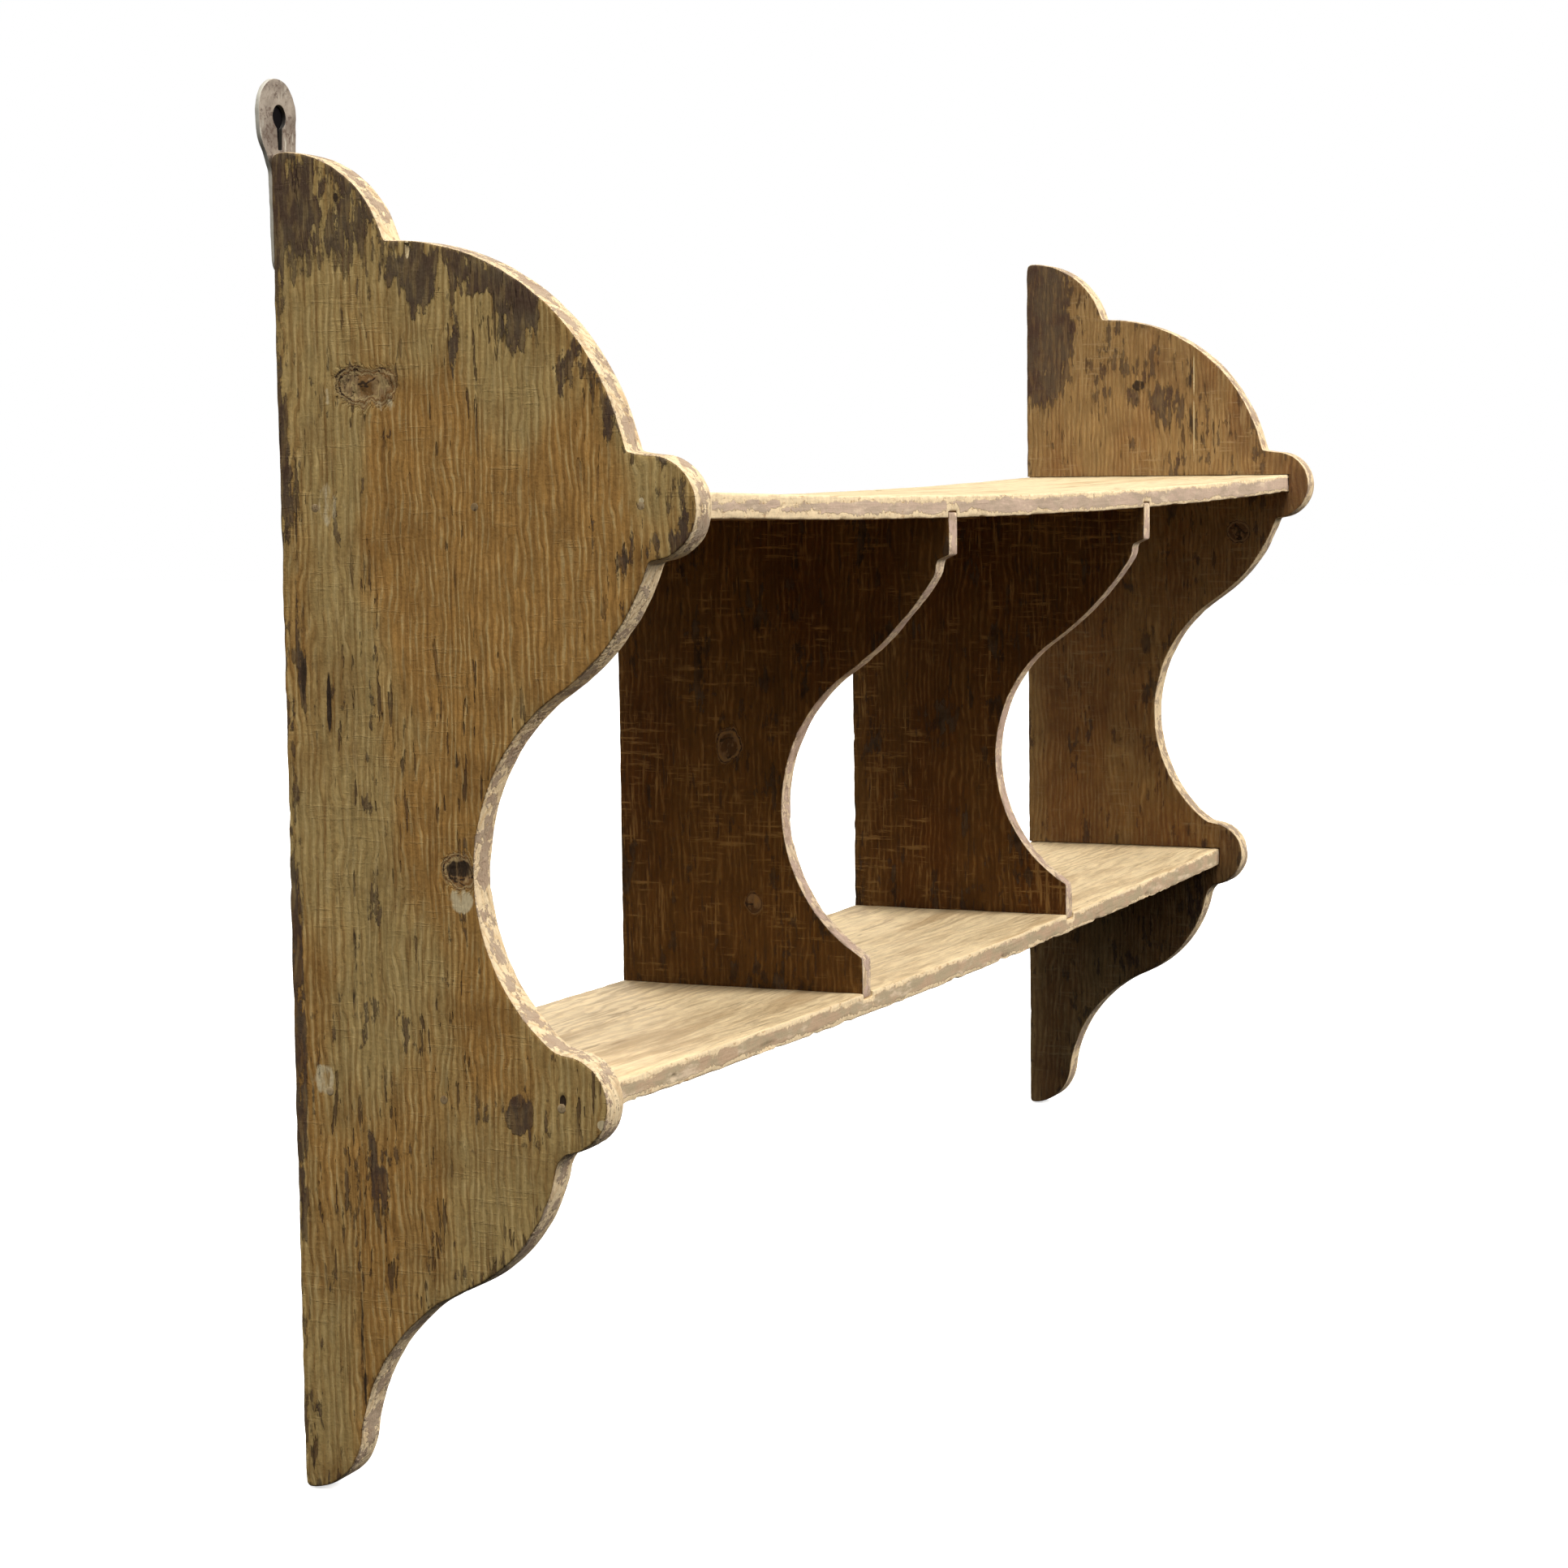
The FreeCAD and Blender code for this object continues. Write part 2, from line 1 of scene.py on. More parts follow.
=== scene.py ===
"""Old pine wall shelf: scalloped end boards, two sagging shelves, two dividers, one keyhole hanging plate.

Lengths are in metres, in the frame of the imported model: X along the shelves, Y towards the wall, Z up.
Marks on the end boards are placed by their depth in front of the wall and their rise above the tips.
"""

import logging
import math
from dataclasses import dataclass, field, replace
from enum import Enum
from typing import Optional, Sequence, Union

import bmesh
import bpy
import numpy as np
from mathutils import Matrix, Vector, noise
from mathutils.geometry import delaunay_2d_cdt


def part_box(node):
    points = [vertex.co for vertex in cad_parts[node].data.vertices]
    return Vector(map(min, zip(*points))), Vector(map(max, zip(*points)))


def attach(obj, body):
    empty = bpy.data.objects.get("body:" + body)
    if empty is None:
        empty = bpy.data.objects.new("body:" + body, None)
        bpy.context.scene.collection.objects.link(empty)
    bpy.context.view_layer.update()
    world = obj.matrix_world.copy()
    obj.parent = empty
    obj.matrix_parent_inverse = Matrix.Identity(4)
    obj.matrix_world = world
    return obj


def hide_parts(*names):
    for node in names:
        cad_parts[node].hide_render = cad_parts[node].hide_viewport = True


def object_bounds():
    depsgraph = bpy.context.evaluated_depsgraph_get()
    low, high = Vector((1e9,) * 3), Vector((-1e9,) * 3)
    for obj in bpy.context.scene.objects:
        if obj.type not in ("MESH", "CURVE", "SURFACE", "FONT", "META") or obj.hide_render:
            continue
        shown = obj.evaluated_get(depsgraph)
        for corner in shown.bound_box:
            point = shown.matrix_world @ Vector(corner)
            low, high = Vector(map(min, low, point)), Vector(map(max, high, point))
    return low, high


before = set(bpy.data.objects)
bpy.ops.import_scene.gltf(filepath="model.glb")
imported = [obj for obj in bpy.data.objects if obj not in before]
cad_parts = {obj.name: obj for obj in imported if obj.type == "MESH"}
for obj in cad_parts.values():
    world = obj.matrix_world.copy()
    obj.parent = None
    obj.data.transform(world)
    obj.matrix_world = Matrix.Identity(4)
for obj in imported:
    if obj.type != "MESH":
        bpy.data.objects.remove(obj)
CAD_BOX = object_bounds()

LOG = logging.getLogger("wall_shelf")
BODY = "root"
# The height of the end boards' tips.
TIPS_Z = CAD_BOX[0].z
# Points closer than this count as one.
NEAR = 2e-5
MM = 0.001
# How far a crack sways to each side, and how fast, in radians a metre.
CRACK_SWAY = 0.6 * MM
CRACK_WAVES = 140.0
# How many points are measured at a time.
BATCH = 4000
Colour = tuple[float, float, float]
Socket = bpy.types.NodeSocket
Value = Union[float, Socket]


class Axis(Enum):
    """The direction that a board's thickness runs in, with the two others that its outline lies in."""

    X = (0, 1, 2)
    Y = (1, 0, 2)


class Grain(Enum):
    """How the grain runs: upright in end boards and dividers, lengthways in shelves."""

    UPRIGHT = "upright"
    LENGTHWAYS = "lengthways"


class Blemish(Enum):
    """Marks that are cut or worn into a face."""

    KNOT = "knot"
    CRACK = "crack"
    DENT = "dent"


@dataclass(frozen=True)
class Mark:
    """One blemish on a slab's near face.

    Attributes:
        kind: What sort of mark it is.
        across: Where it lies along the outline's first direction.
        up: Where it lies along the outline's second direction.
        half_across: Half its width.
        half_up: Half its height.
        dip: How deep it goes.
    """

    kind: Blemish
    across: float
    up: float
    half_across: float
    half_up: float
    dip: float


@dataclass(frozen=True)
class Patch:
    """A soft-edged zone of a finish on an end board's face.

    Attributes:
        depth: How far its middle is in front of the wall.
        rise: How far its middle is above the tips.
        half_depth: Half its extent from the wall.
        half_rise: Half its extent upwards.
        weight: How strongly it acts.
    """

    depth: float
    rise: float
    half_depth: float
    half_rise: float
    weight: float


def placed(name: str, data: bpy.types.ID) -> bpy.types.Object:
    """Adds an object to the scene.

    Args:
        name: The object's name.
        data: The mesh, light or camera that it shows.

    Returns:
        The new object.
    """
    thing = bpy.data.objects.new(name, data)
    bpy.context.scene.collection.objects.link(thing)
    return thing


def mesh_points(mesh: bpy.types.Mesh) -> np.ndarray:
    """Reads a mesh's vertices.

    Args:
        mesh: The mesh to read.

    Returns:
        One row of three coordinates for each vertex.
    """
    flat = np.zeros(len(mesh.vertices) * 3, np.float32)
    mesh.vertices.foreach_get("co", flat)
    return flat.reshape(-1, 3).astype(float)


def flat_outlines(node: str, axis: Axis, level: float) -> list[np.ndarray]:
    """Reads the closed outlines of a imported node's flat face.

    Args:
        node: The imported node.
        axis: The direction that the face looks along.
        level: Where the face lies on that axis.

    Returns:
        The outlines, the largest first and the others by falling size, each as rows of two coordinates.
        The first runs anticlockwise and the others, which are holes, clockwise.
    """
    normal, first, second = axis.value
    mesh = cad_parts[node].data
    points = mesh_points(mesh)
    mesh.calc_loop_triangles()
    flat = np.zeros(len(mesh.loop_triangles) * 3, np.int32)
    mesh.loop_triangles.foreach_get("vertices", flat)
    corners = flat.reshape(-1, 3)
    corners = corners[(np.abs(points[corners, normal] - level) < NEAR).all(1)]
    places, merged = np.unique(np.round(points / NEAR).astype(np.int64), axis=0, return_inverse=True)
    merged = merged.ravel()
    joined = np.zeros((len(places), 3))
    joined[merged] = points
    sides = {(int(merged[t[k]]), int(merged[t[k - 2]])) for t in corners for k in range(3)}
    onward = {a: b for a, b in sides if (b, a) not in sides}
    loops = []
    while onward:
        start, here = next(iter(onward.items()))
        ring = [start]
        del onward[start]
        while here != start and here in onward:
            ring.append(here)
            here = onward.pop(here)
        if here == start and len(ring) > 2:
            loops.append(joined[ring][:, [first, second]])
    loops.sort(key=lambda loop: -abs(area_of(loop)))
    turned = [loops[0] if area_of(loops[0]) > 0 else loops[0][::-1]]
    return turned + [loop if area_of(loop) < 0 else loop[::-1] for loop in loops[1:]]


def area_of(loop: np.ndarray) -> float:
    """Signed area inside a closed outline, positive when it runs anticlockwise."""
    x, y = loop.T
    return float((x * np.roll(y, -1) - y * np.roll(x, -1)).sum() / 2)


def turns_of(loop: np.ndarray) -> np.ndarray:
    """The turn in an outline at each of its points.

    Args:
        loop: The outline's points.

    Returns:
        The turns in radians, positive to the left.
    """
    before, after = loop - np.roll(loop, 1, 0), np.roll(loop, -1, 0) - loop
    cross = before[:, 0] * after[:, 1] - before[:, 1] * after[:, 0]
    return np.arctan2(cross, (before * after).sum(1))


def eased_outline(loop: np.ndarray, step: float, corner: float, ease: int, wear: int) -> np.ndarray:
    """Resamples an outline finely, with its arcs smooth and its corners worn a little.

    Args:
        loop: The outline's points.
        step: The longest distance between the points that come back.
        corner: The turn in radians above which a point is a true corner.
        ease: How many smoothing passes the arcs get.
        wear: How many of the last passes soften the corners too.

    Returns:
        The new outline.
    """
    sharp = np.abs(turns_of(loop)) > corner
    fine, fixed = [], []
    for here, there, is_corner in zip(loop, np.roll(loop, -1, 0), sharp):
        count = max(1, int(round(float(np.linalg.norm(there - here)) / (step / 3))))
        for k in range(count):
            fine.append(here + (there - here) * k / count)
            fixed.append(bool(is_corner) and k == 0)
    line, held = np.array(fine), np.array(fixed)[:, None]
    for turn in range(ease):
        smooth = (np.roll(line, 1, 0) + 2 * line + np.roll(line, -1, 0)) / 4
        line = np.where(held, line, smooth) if turn < ease - wear else smooth
    turns, kept, run, swing, most_swing = turns_of(line), [0], 0.0, 0.0, 0.25
    for k in range(1, len(line)):
        run += float(np.linalg.norm(line[k] - line[k - 1]))
        swing += abs(float(turns[k]))
        if run >= step or swing > most_swing:
            kept.append(k)
            run = swing = 0.0
    return line[kept]


def inward_steps(loop: np.ndarray, amount: np.ndarray) -> np.ndarray:
    """Moves an outline into its material, without letting neighbours cross.

    Args:
        loop: The outline's points.
        amount: How far each point moves.

    Returns:
        The moved outline.
    """
    ahead = np.roll(loop, -1, 0) - loop
    ahead /= np.linalg.norm(ahead, axis=1)[:, None]
    left = np.stack([-ahead[:, 1], ahead[:, 0]], 1)
    both = left + np.roll(left, 1, 0)
    mitre = both / np.maximum((both * both).sum(1) / 2, 0.6)[:, None]
    moved = loop + mitre * amount[:, None]
    gap = np.roll(loop, -1, 0) - loop
    for _ in range(30):
        step = np.roll(moved, -1, 0) - moved
        crossed = (step * gap).sum(1) < 0.15 * (gap * gap).sum(1)
        if not crossed.any():
            break
        middle = (np.roll(moved, -1, 0) + moved) / 2
        for k in np.nonzero(crossed)[0]:
            after = (k + 1) % len(moved)
            moved[k], moved[after] = middle[k] - gap[k] * 0.1, middle[k] + gap[k] * 0.1
    return moved


def enclosed(points: np.ndarray, rings: Sequence[np.ndarray]) -> np.ndarray:
    """Which points lie in a face: inside its outline and outside its holes.

    Args:
        points: Rows of two coordinates.
        rings: The outline and the holes.

    Returns:
        True for each point that does.
    """
    inside = np.zeros(len(points), bool)
    for ring in rings:
        a, b = ring, np.roll(ring, -1, 0)
        rise = np.where(np.abs(b[:, 1] - a[:, 1]) < 1e-12, 1e-12, b[:, 1] - a[:, 1])
        for start in range(0, len(points), BATCH):
            x, y = points[start:start + BATCH, :1], points[start:start + BATCH, 1:]
            spans = (a[:, 1] > y) != (b[:, 1] > y)
            cuts = a[:, 0] + (y - a[:, 1]) * (b[:, 0] - a[:, 0]) / rise
            inside[start:start + BATCH] ^= (spans & (x < cuts)).sum(1) % 2 == 1
    return inside


def gap_to(points: np.ndarray, line: np.ndarray) -> np.ndarray:
    """The distance from each point to the nearest point of a line."""
    parts = [points[start:start + BATCH] for start in range(0, len(points), BATCH)]
    return np.concatenate([np.sqrt(((part[:, None] - line[None]) ** 2).sum(-1)).min(1) for part in parts])


def soft_noise(points: np.ndarray, scale: Sequence[float], seed: float) -> np.ndarray:
    """Smooth noise at each point.

    Args:
        points: Rows of three coordinates.
        scale: How many waves a metre holds along each axis.
        seed: Shifts the pattern, so that boards differ.

    Returns:
        One value for each point, mostly from -1 to 1.
    """
    shift = Vector((seed * 7.31, seed * 3.17, seed * 5.73))
    return np.array([noise.noise(Vector(p) + shift) for p in points * np.array(scale)])


# A ring's points, and their numbers in the mesh.
Rims = tuple[np.ndarray, np.ndarray]
# The values that the materials read from a slab's points.
WEAR = ("side", "rim", "far", "hole")
# The turns in radians at which the rings round an arris stand.
ARRIS_TURNS = (0.0, 0.4, 0.75, 1.1, math.pi / 2)


@dataclass
class Skin:
    """The points and faces of a slab while its mesh grows.

    Attributes:
        points: Blocks of points.
        faces: Faces, each a list of point numbers.
        values: Blocks of each value in WEAR: how much of a side wall a point is, how close it is to an
            arris, which face it is on, and whether it is on the wall of a hole.
        total: How many points there are.
    """

    points: list[np.ndarray] = field(default_factory=list)
    faces: list[list[int]] = field(default_factory=list)
    values: dict[str, list[np.ndarray]] = field(default_factory=lambda: {name: [] for name in WEAR})
    total: int = 0

    def add(self, points: np.ndarray, **values: np.ndarray) -> np.ndarray:
        """Adds a block of points.

        Args:
            points: Rows of three coordinates.
            values: The block's values, by their names in WEAR.

        Returns:
            The points' numbers.
        """
        self.points.append(points)
        for name, value in values.items():
            self.values[name].append(value)
        self.total += len(points)
        return np.arange(self.total - len(points), self.total)


@dataclass
class Slab:
    """A board or sheet cut to outlines in one plane, with worn arrises and hollowed, marked faces.

    Attributes:
        name: The piece's name.
        axis: The direction of its thickness.
        near: Where its first face lies on that axis.
        far: Where its second face lies.
        outlines: The outer outline, then any holes.
        spacing: The distance between points on its faces.
        step: The distance between points round its outlines.
        station: The distance between rings through its thickness.
        arris: The usual radius of its worn arrises.
        relief: How deep its faces are hollowed.
        grain_scale: Waves a metre of that hollowing along X, Y and Z.
        seed: Shifts its wear, so that boards differ.
        corner: The turn in radians above which an outline's point is a true corner.
        ease: Smoothing passes over its arcs.
        wear: Passes that soften its corners.
        chip: How deep the chips in its arrises go.
        marks: Blemishes on its near face.
        sinks: How far each outline is countersunk at the far face; those left out aren't.
    """

    name: str
    axis: Axis
    near: float
    far: float
    outlines: list[np.ndarray]
    spacing: float = 3.5 * MM
    step: float = 3.0 * MM
    station: float = 3.0 * MM
    arris: float = 1.3 * MM
    relief: float = 0.35 * MM
    grain_scale: tuple[float, float, float] = (60.0, 60.0, 9.0)
    seed: float = 1.0
    corner: float = 0.6
    ease: int = 12
    wear: int = 3
    chip: float = 0.8 * MM
    marks: Sequence[Mark] = ()
    sinks: Sequence[float] = ()

    def _place(self, flat: np.ndarray, along: Union[float, np.ndarray]) -> np.ndarray:
        """Turns points of the outline's plane into points in space.

        Args:
            flat: Rows of two coordinates.
            along: How far they lie from the near face, through the thickness.

        Returns:
            Rows of three coordinates.
        """
        normal, first, second = self.axis.value
        solid = np.zeros((len(flat), 3))
        solid[:, first], solid[:, second] = flat[:, 0], flat[:, 1]
        solid[:, normal] = self.near + np.asarray(along)
        return solid

    def _ring_rows(self, loop: np.ndarray, sink: float) -> tuple[np.ndarray, np.ndarray, np.ndarray]:
        """Makes the rings that carry one outline from the near face to the far one.

        Args:
            loop: The outline.
            sink: How far it is countersunk at the far face.

        Returns:
            The rings' points, how much of a side wall each ring is, and its closeness to an arris.
        """
        thick = self.far - self.near
        reach = []
        for end, along in enumerate((0.0, thick)):
            rough = soft_noise(self._place(loop, along), (90, 90, 90), self.seed + end * 3.3)
            fine = soft_noise(self._place(loop, along), (190, 190, 190), self.seed + end * 5.1)
            reach.append(np.clip(self.arris * (1 + 0.8 * rough + 0.3 * fine), 0.3 * self.arris, thick / 3))
        if sink:
            reach[1] = np.full(len(loop), sink)
        rows, side, rim = [], [], []
        for turn in ARRIS_TURNS:
            flat = inward_steps(loop, reach[0] * (1 - math.sin(turn)))
            rows.append(self._place(flat, reach[0] * (1 - math.cos(turn))))
            side.append(math.sin(turn) ** 2)
            rim.append(1.0)
        count = max(1, int(round((thick - reach[0].max() - reach[1].max()) / self.station)))
        for k in range(1, count):
            share = k / count
            along = reach[0] * (1 - share) + (thick - reach[1]) * share
            rows.append(self._place(loop, along))
            side.append(1.0)
            rim.append(math.exp(-min(k, count - k) * self.station / (3 * MM)))
        for turn in ARRIS_TURNS[::-1]:
            open_by = 1 - math.sin(turn)
            flat = inward_steps(loop, reach[1] * open_by)
            rows.append(self._place(flat, thick - reach[1] * (1 - open_by if sink else 1 - math.cos(turn))))
            side.append(math.sin(turn) ** 2)
            rim.append(1.0)
        return np.array(rows), np.array(side), np.array(rim)

    def _inner_points(self, rings: list[np.ndarray], far: bool) -> np.ndarray:
        """Spreads points over a face, closer together where a mark needs them.

        Args:
            rings: The face's own edge and the edges of its holes.
            far: Whether this is the far face.

        Returns:
            Rows of two coordinates, all inside the face.
        """
        low, high = rings[0].min(0), rings[0].max(0)
        rng = np.random.default_rng(int(self.seed * 10) + far)
        xs = np.arange(low[0] + self.spacing / 2, high[0], self.spacing)
        ys = np.arange(low[1] + self.spacing / 2, high[1], self.spacing)
        grid = np.stack(np.meshgrid(xs, ys), -1).reshape(-1, 2)
        grid += rng.uniform(-0.22, 0.22, grid.shape) * self.spacing
        extra = [grid]
        for mark in () if far else self.marks:
            if mark.kind is Blemish.CRACK:
                runs = np.arange(mark.up - mark.half_up, mark.up + mark.half_up, 2 * MM)
                offsets = np.array([-2.2, -1.0, 0.0, 1.0, 2.2]) * mark.half_across
                sway = CRACK_SWAY * np.sin(runs * CRACK_WAVES)
                extra.append(np.stack([(mark.across + sway)[:, None] + offsets[None], np.repeat(
                    runs[:, None], len(offsets), 1)], -1).reshape(-1, 2))
            else:
                turns = np.linspace(0, 2 * math.pi, 22, endpoint=False)
                for share in (0.15, 0.35, 0.55, 0.75, 0.95, 1.15):
                    extra.append(np.stack([mark.across + share * mark.half_across * np.cos(turns + share),
                                           mark.up + share * mark.half_up * np.sin(turns + share)], 1))
        spread = np.concatenate(extra)
        clear = gap_to(spread, np.concatenate(rings)) > min(self.spacing, self.step) * 0.55
        return spread[enclosed(spread, rings) & clear]

    def _hollow(self, points: np.ndarray, side: np.ndarray, rim: np.ndarray, far: np.ndarray) -> np.ndarray:
        """How far each point sinks below the sawn surface.

        Args:
            points: The points before wear.
            side: How much of a side wall each point is.
            rim: How close each is to an arris.
            far: Which face each is on.

        Returns:
            A depth for each point, never negative.
        """
        broad = soft_noise(points, self.grain_scale, self.seed)
        close = soft_noise(points, [3.1 * s for s in self.grain_scale], self.seed + 9)
        depth = self.relief * np.clip(0.5 + 0.6 * broad + 0.35 * close, 0, 1.4)
        bites = soft_noise(points, (55, 55, 55), self.seed + 4) + 0.35 * soft_noise(
            points, (170, 170, 170), self.seed + 5)
        depth += self.chip * rim * np.clip((bites - 0.38) * 4, 0, 1)
        _, first, second = self.axis.value
        for mark in self.marks:
            a = (points[:, first] - mark.across) / mark.half_across
            b = (points[:, second] - mark.up) / mark.half_up
            here = (side < 0.6) & (far < 0.5)
            if mark.kind is Blemish.CRACK:
                sway = CRACK_SWAY * np.sin(points[:, second] * CRACK_WAVES) / mark.half_across
                cut = np.clip(1.6 - np.abs(a - sway), 0, 1) * (np.abs(b) < 1)
                depth += np.where(here, mark.dip * cut * np.sqrt(np.clip(1.02 - b * b, 0, 1)), 0)
            elif mark.kind is Blemish.DENT:
                depth += np.where(here, mark.dip * np.clip(1 - a * a - b * b, 0, 1), 0)
            else:
                reach = np.sqrt(a * a + b * b) + 0.35 * soft_noise(points, (130, 130, 130), self.seed + 12)
                ridge = 0.5 + 0.5 * np.cos(np.clip(reach, 0, 1.4) * 9)
                torn = np.clip(soft_noise(points, (330, 330, 330), self.seed + 13) * 3, 0, 1)
                depth += np.where(here & (reach < 1.25), mark.dip * (ridge + torn), 0)
        return np.clip(depth, 0, None)

    def _walls(self, skin: Skin) -> tuple[list[Rims], list[Rims]]:
        """Adds the rings of every outline and the wall faces between them.

        Args:
            skin: The mesh that grows.

        Returns:
            The innermost rings on the near face and on the far face, with their point numbers.
        """
        _, first, second = self.axis.value
        near_rims, far_rims = [], []
        for number, raw in enumerate(self.outlines):
            loop = eased_outline(raw, self.step, self.corner, self.ease, self.wear)
            sink = self.sinks[number] if number < len(self.sinks) else 0.0
            rows, row_side, row_rim = self._ring_rows(loop, sink)
            levels, count = rows.shape[:2]
            side = np.repeat(row_side, count)
            index = skin.add(
                rows.reshape(-1, 3), side=side, rim=np.repeat(row_rim, count), hole=float(number > 0) * side,
                far=np.repeat((np.arange(levels) >= levels / 2).astype(float), count)).reshape(levels, count)
            after = np.roll(index, -1, 1)
            quads = np.stack([index[:-1], after[:-1], after[1:], index[1:]], -1).reshape(-1, 4)
            skin.faces += quads.tolist()
            near_rims.append((rows[0][:, [first, second]], index[0]))
            far_rims.append((rows[-1][:, [first, second]], index[-1]))
        return near_rims, far_rims

    def _cap(self, skin: Skin, rims: list[Rims], end: int) -> None:
        """Fills one face of the slab with small triangles.

        Args:
            skin: The mesh that grows.
            rims: The face's own edge and the edges of its holes, with their point numbers.
            end: 0 for the near face and 1 for the far one.
        """
        rings = [ring for ring, _ in rims]
        inner = self._inner_points(rings, bool(end))
        starts = np.cumsum([0] + [len(ring) for ring in rings])
        edges = [(int(start + k), int(start + (k + 1) % len(ring)))
                 for start, ring in zip(starts, rings) for k in range(len(ring))]
        added = skin.add(
            self._place(inner, (self.far - self.near) * end), side=np.zeros(len(inner)),
            rim=np.exp(-gap_to(inner, np.concatenate(rings)) / (4 * MM)),
            far=np.full(len(inner), float(end)), hole=np.zeros(len(inner)))
        known = np.concatenate([index for _, index in rims] + [added])
        flat = [Vector(p) for p in np.concatenate(rings + [inner])]
        corners, _, found, sources, _, _ = delaunay_2d_cdt(flat, edges, [], 1, 1e-7)
        origin = [int(known[source[0]]) for source in sources]
        middles = np.array([[sum(corners[v][k] for v in face) / len(face) for k in (0, 1)] for face in found])
        skin.faces += [[origin[v] for v in (face if end else face[::-1])]
                       for face, kept in zip(found, enclosed(middles, rings)) if kept]

    def build(self) -> bpy.types.Object:
        """Builds the slab's mesh.

        Returns:
            The new object, with its wear in the mesh and the attributes of WEAR on its points.
        """
        skin = Skin()
        for end, rims in enumerate(self._walls(skin)):
            self._cap(skin, rims, end)
        mesh = bpy.data.meshes.new(self.name)
        solid = np.concatenate(skin.points)
        mesh.from_pydata(solid.tolist(), [], skin.faces)
        work = bmesh.new()
        work.from_mesh(mesh)
        bmesh.ops.recalc_face_normals(work, faces=work.faces)
        work.to_mesh(mesh)
        work.free()
        values = {name: np.concatenate(blocks) for name, blocks in skin.values.items()}
        normals = np.zeros(len(mesh.vertices) * 3, np.float32)
        mesh.vertex_normals.foreach_get("vector", normals)
        depth = self._hollow(solid, values["side"], values["rim"], values["far"])
        solid -= normals.reshape(-1, 3) * depth[:, None]
        mesh.vertices.foreach_set("co", solid.astype(np.float32).ravel())
        for name, value in values.items():
            mesh.attributes.new(name, "FLOAT", "POINT").data.foreach_set("value", value.astype(np.float32))
        mesh.update()
        return placed(self.name, mesh)


def carve(piece: bpy.types.Object, cuts: Sequence[Matrix], solver: str) -> None:
    """Cuts stretched unit cubes out of a closed mesh.

    Args:
        piece: The object to cut.
        cuts: The place, turn and size of each cube.
        solver: The solver's own name, such as EXACT or MANIFOLD.
    """
    for cut in cuts:
        mesh = bpy.data.meshes.new("cutter")
        work = bmesh.new()
        bmesh.ops.create_cube(work, size=1.0, matrix=cut)
        work.to_mesh(mesh)
        work.free()
        cutter = placed("cutter", mesh)
        step = piece.modifiers.new("cut", "BOOLEAN")
        step.operation, step.object, step.solver = "DIFFERENCE", cutter, solver
        graph = bpy.context.evaluated_depsgraph_get()
        made = bpy.data.meshes.new_from_object(piece.evaluated_get(graph))
        piece.modifiers.clear()
        if len(made.vertices) > 0:
            piece.data = made
        bpy.data.objects.remove(cutter)


def settle(piece: bpy.types.Object, node: str, finish: bpy.types.Material,
           crease: float = 34.0) -> bpy.types.Object:
    """Gives a finished mesh its shading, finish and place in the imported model.

    Args:
        piece: The object.
        node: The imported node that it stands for.
        finish: Its material.
        crease: The angle in degrees above which an edge stays crisp.

    Returns:
        The same object.
    """
    piece.data.shade_smooth()
    piece.data.set_sharp_from_angle(angle=math.radians(crease))
    piece.data.materials.clear()
    piece.data.materials.append(finish)
    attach(piece, BODY)
    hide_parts(node)
    LOG.info("%s: %d points, stands for %s", piece.name, len(piece.data.vertices), node)
    return piece


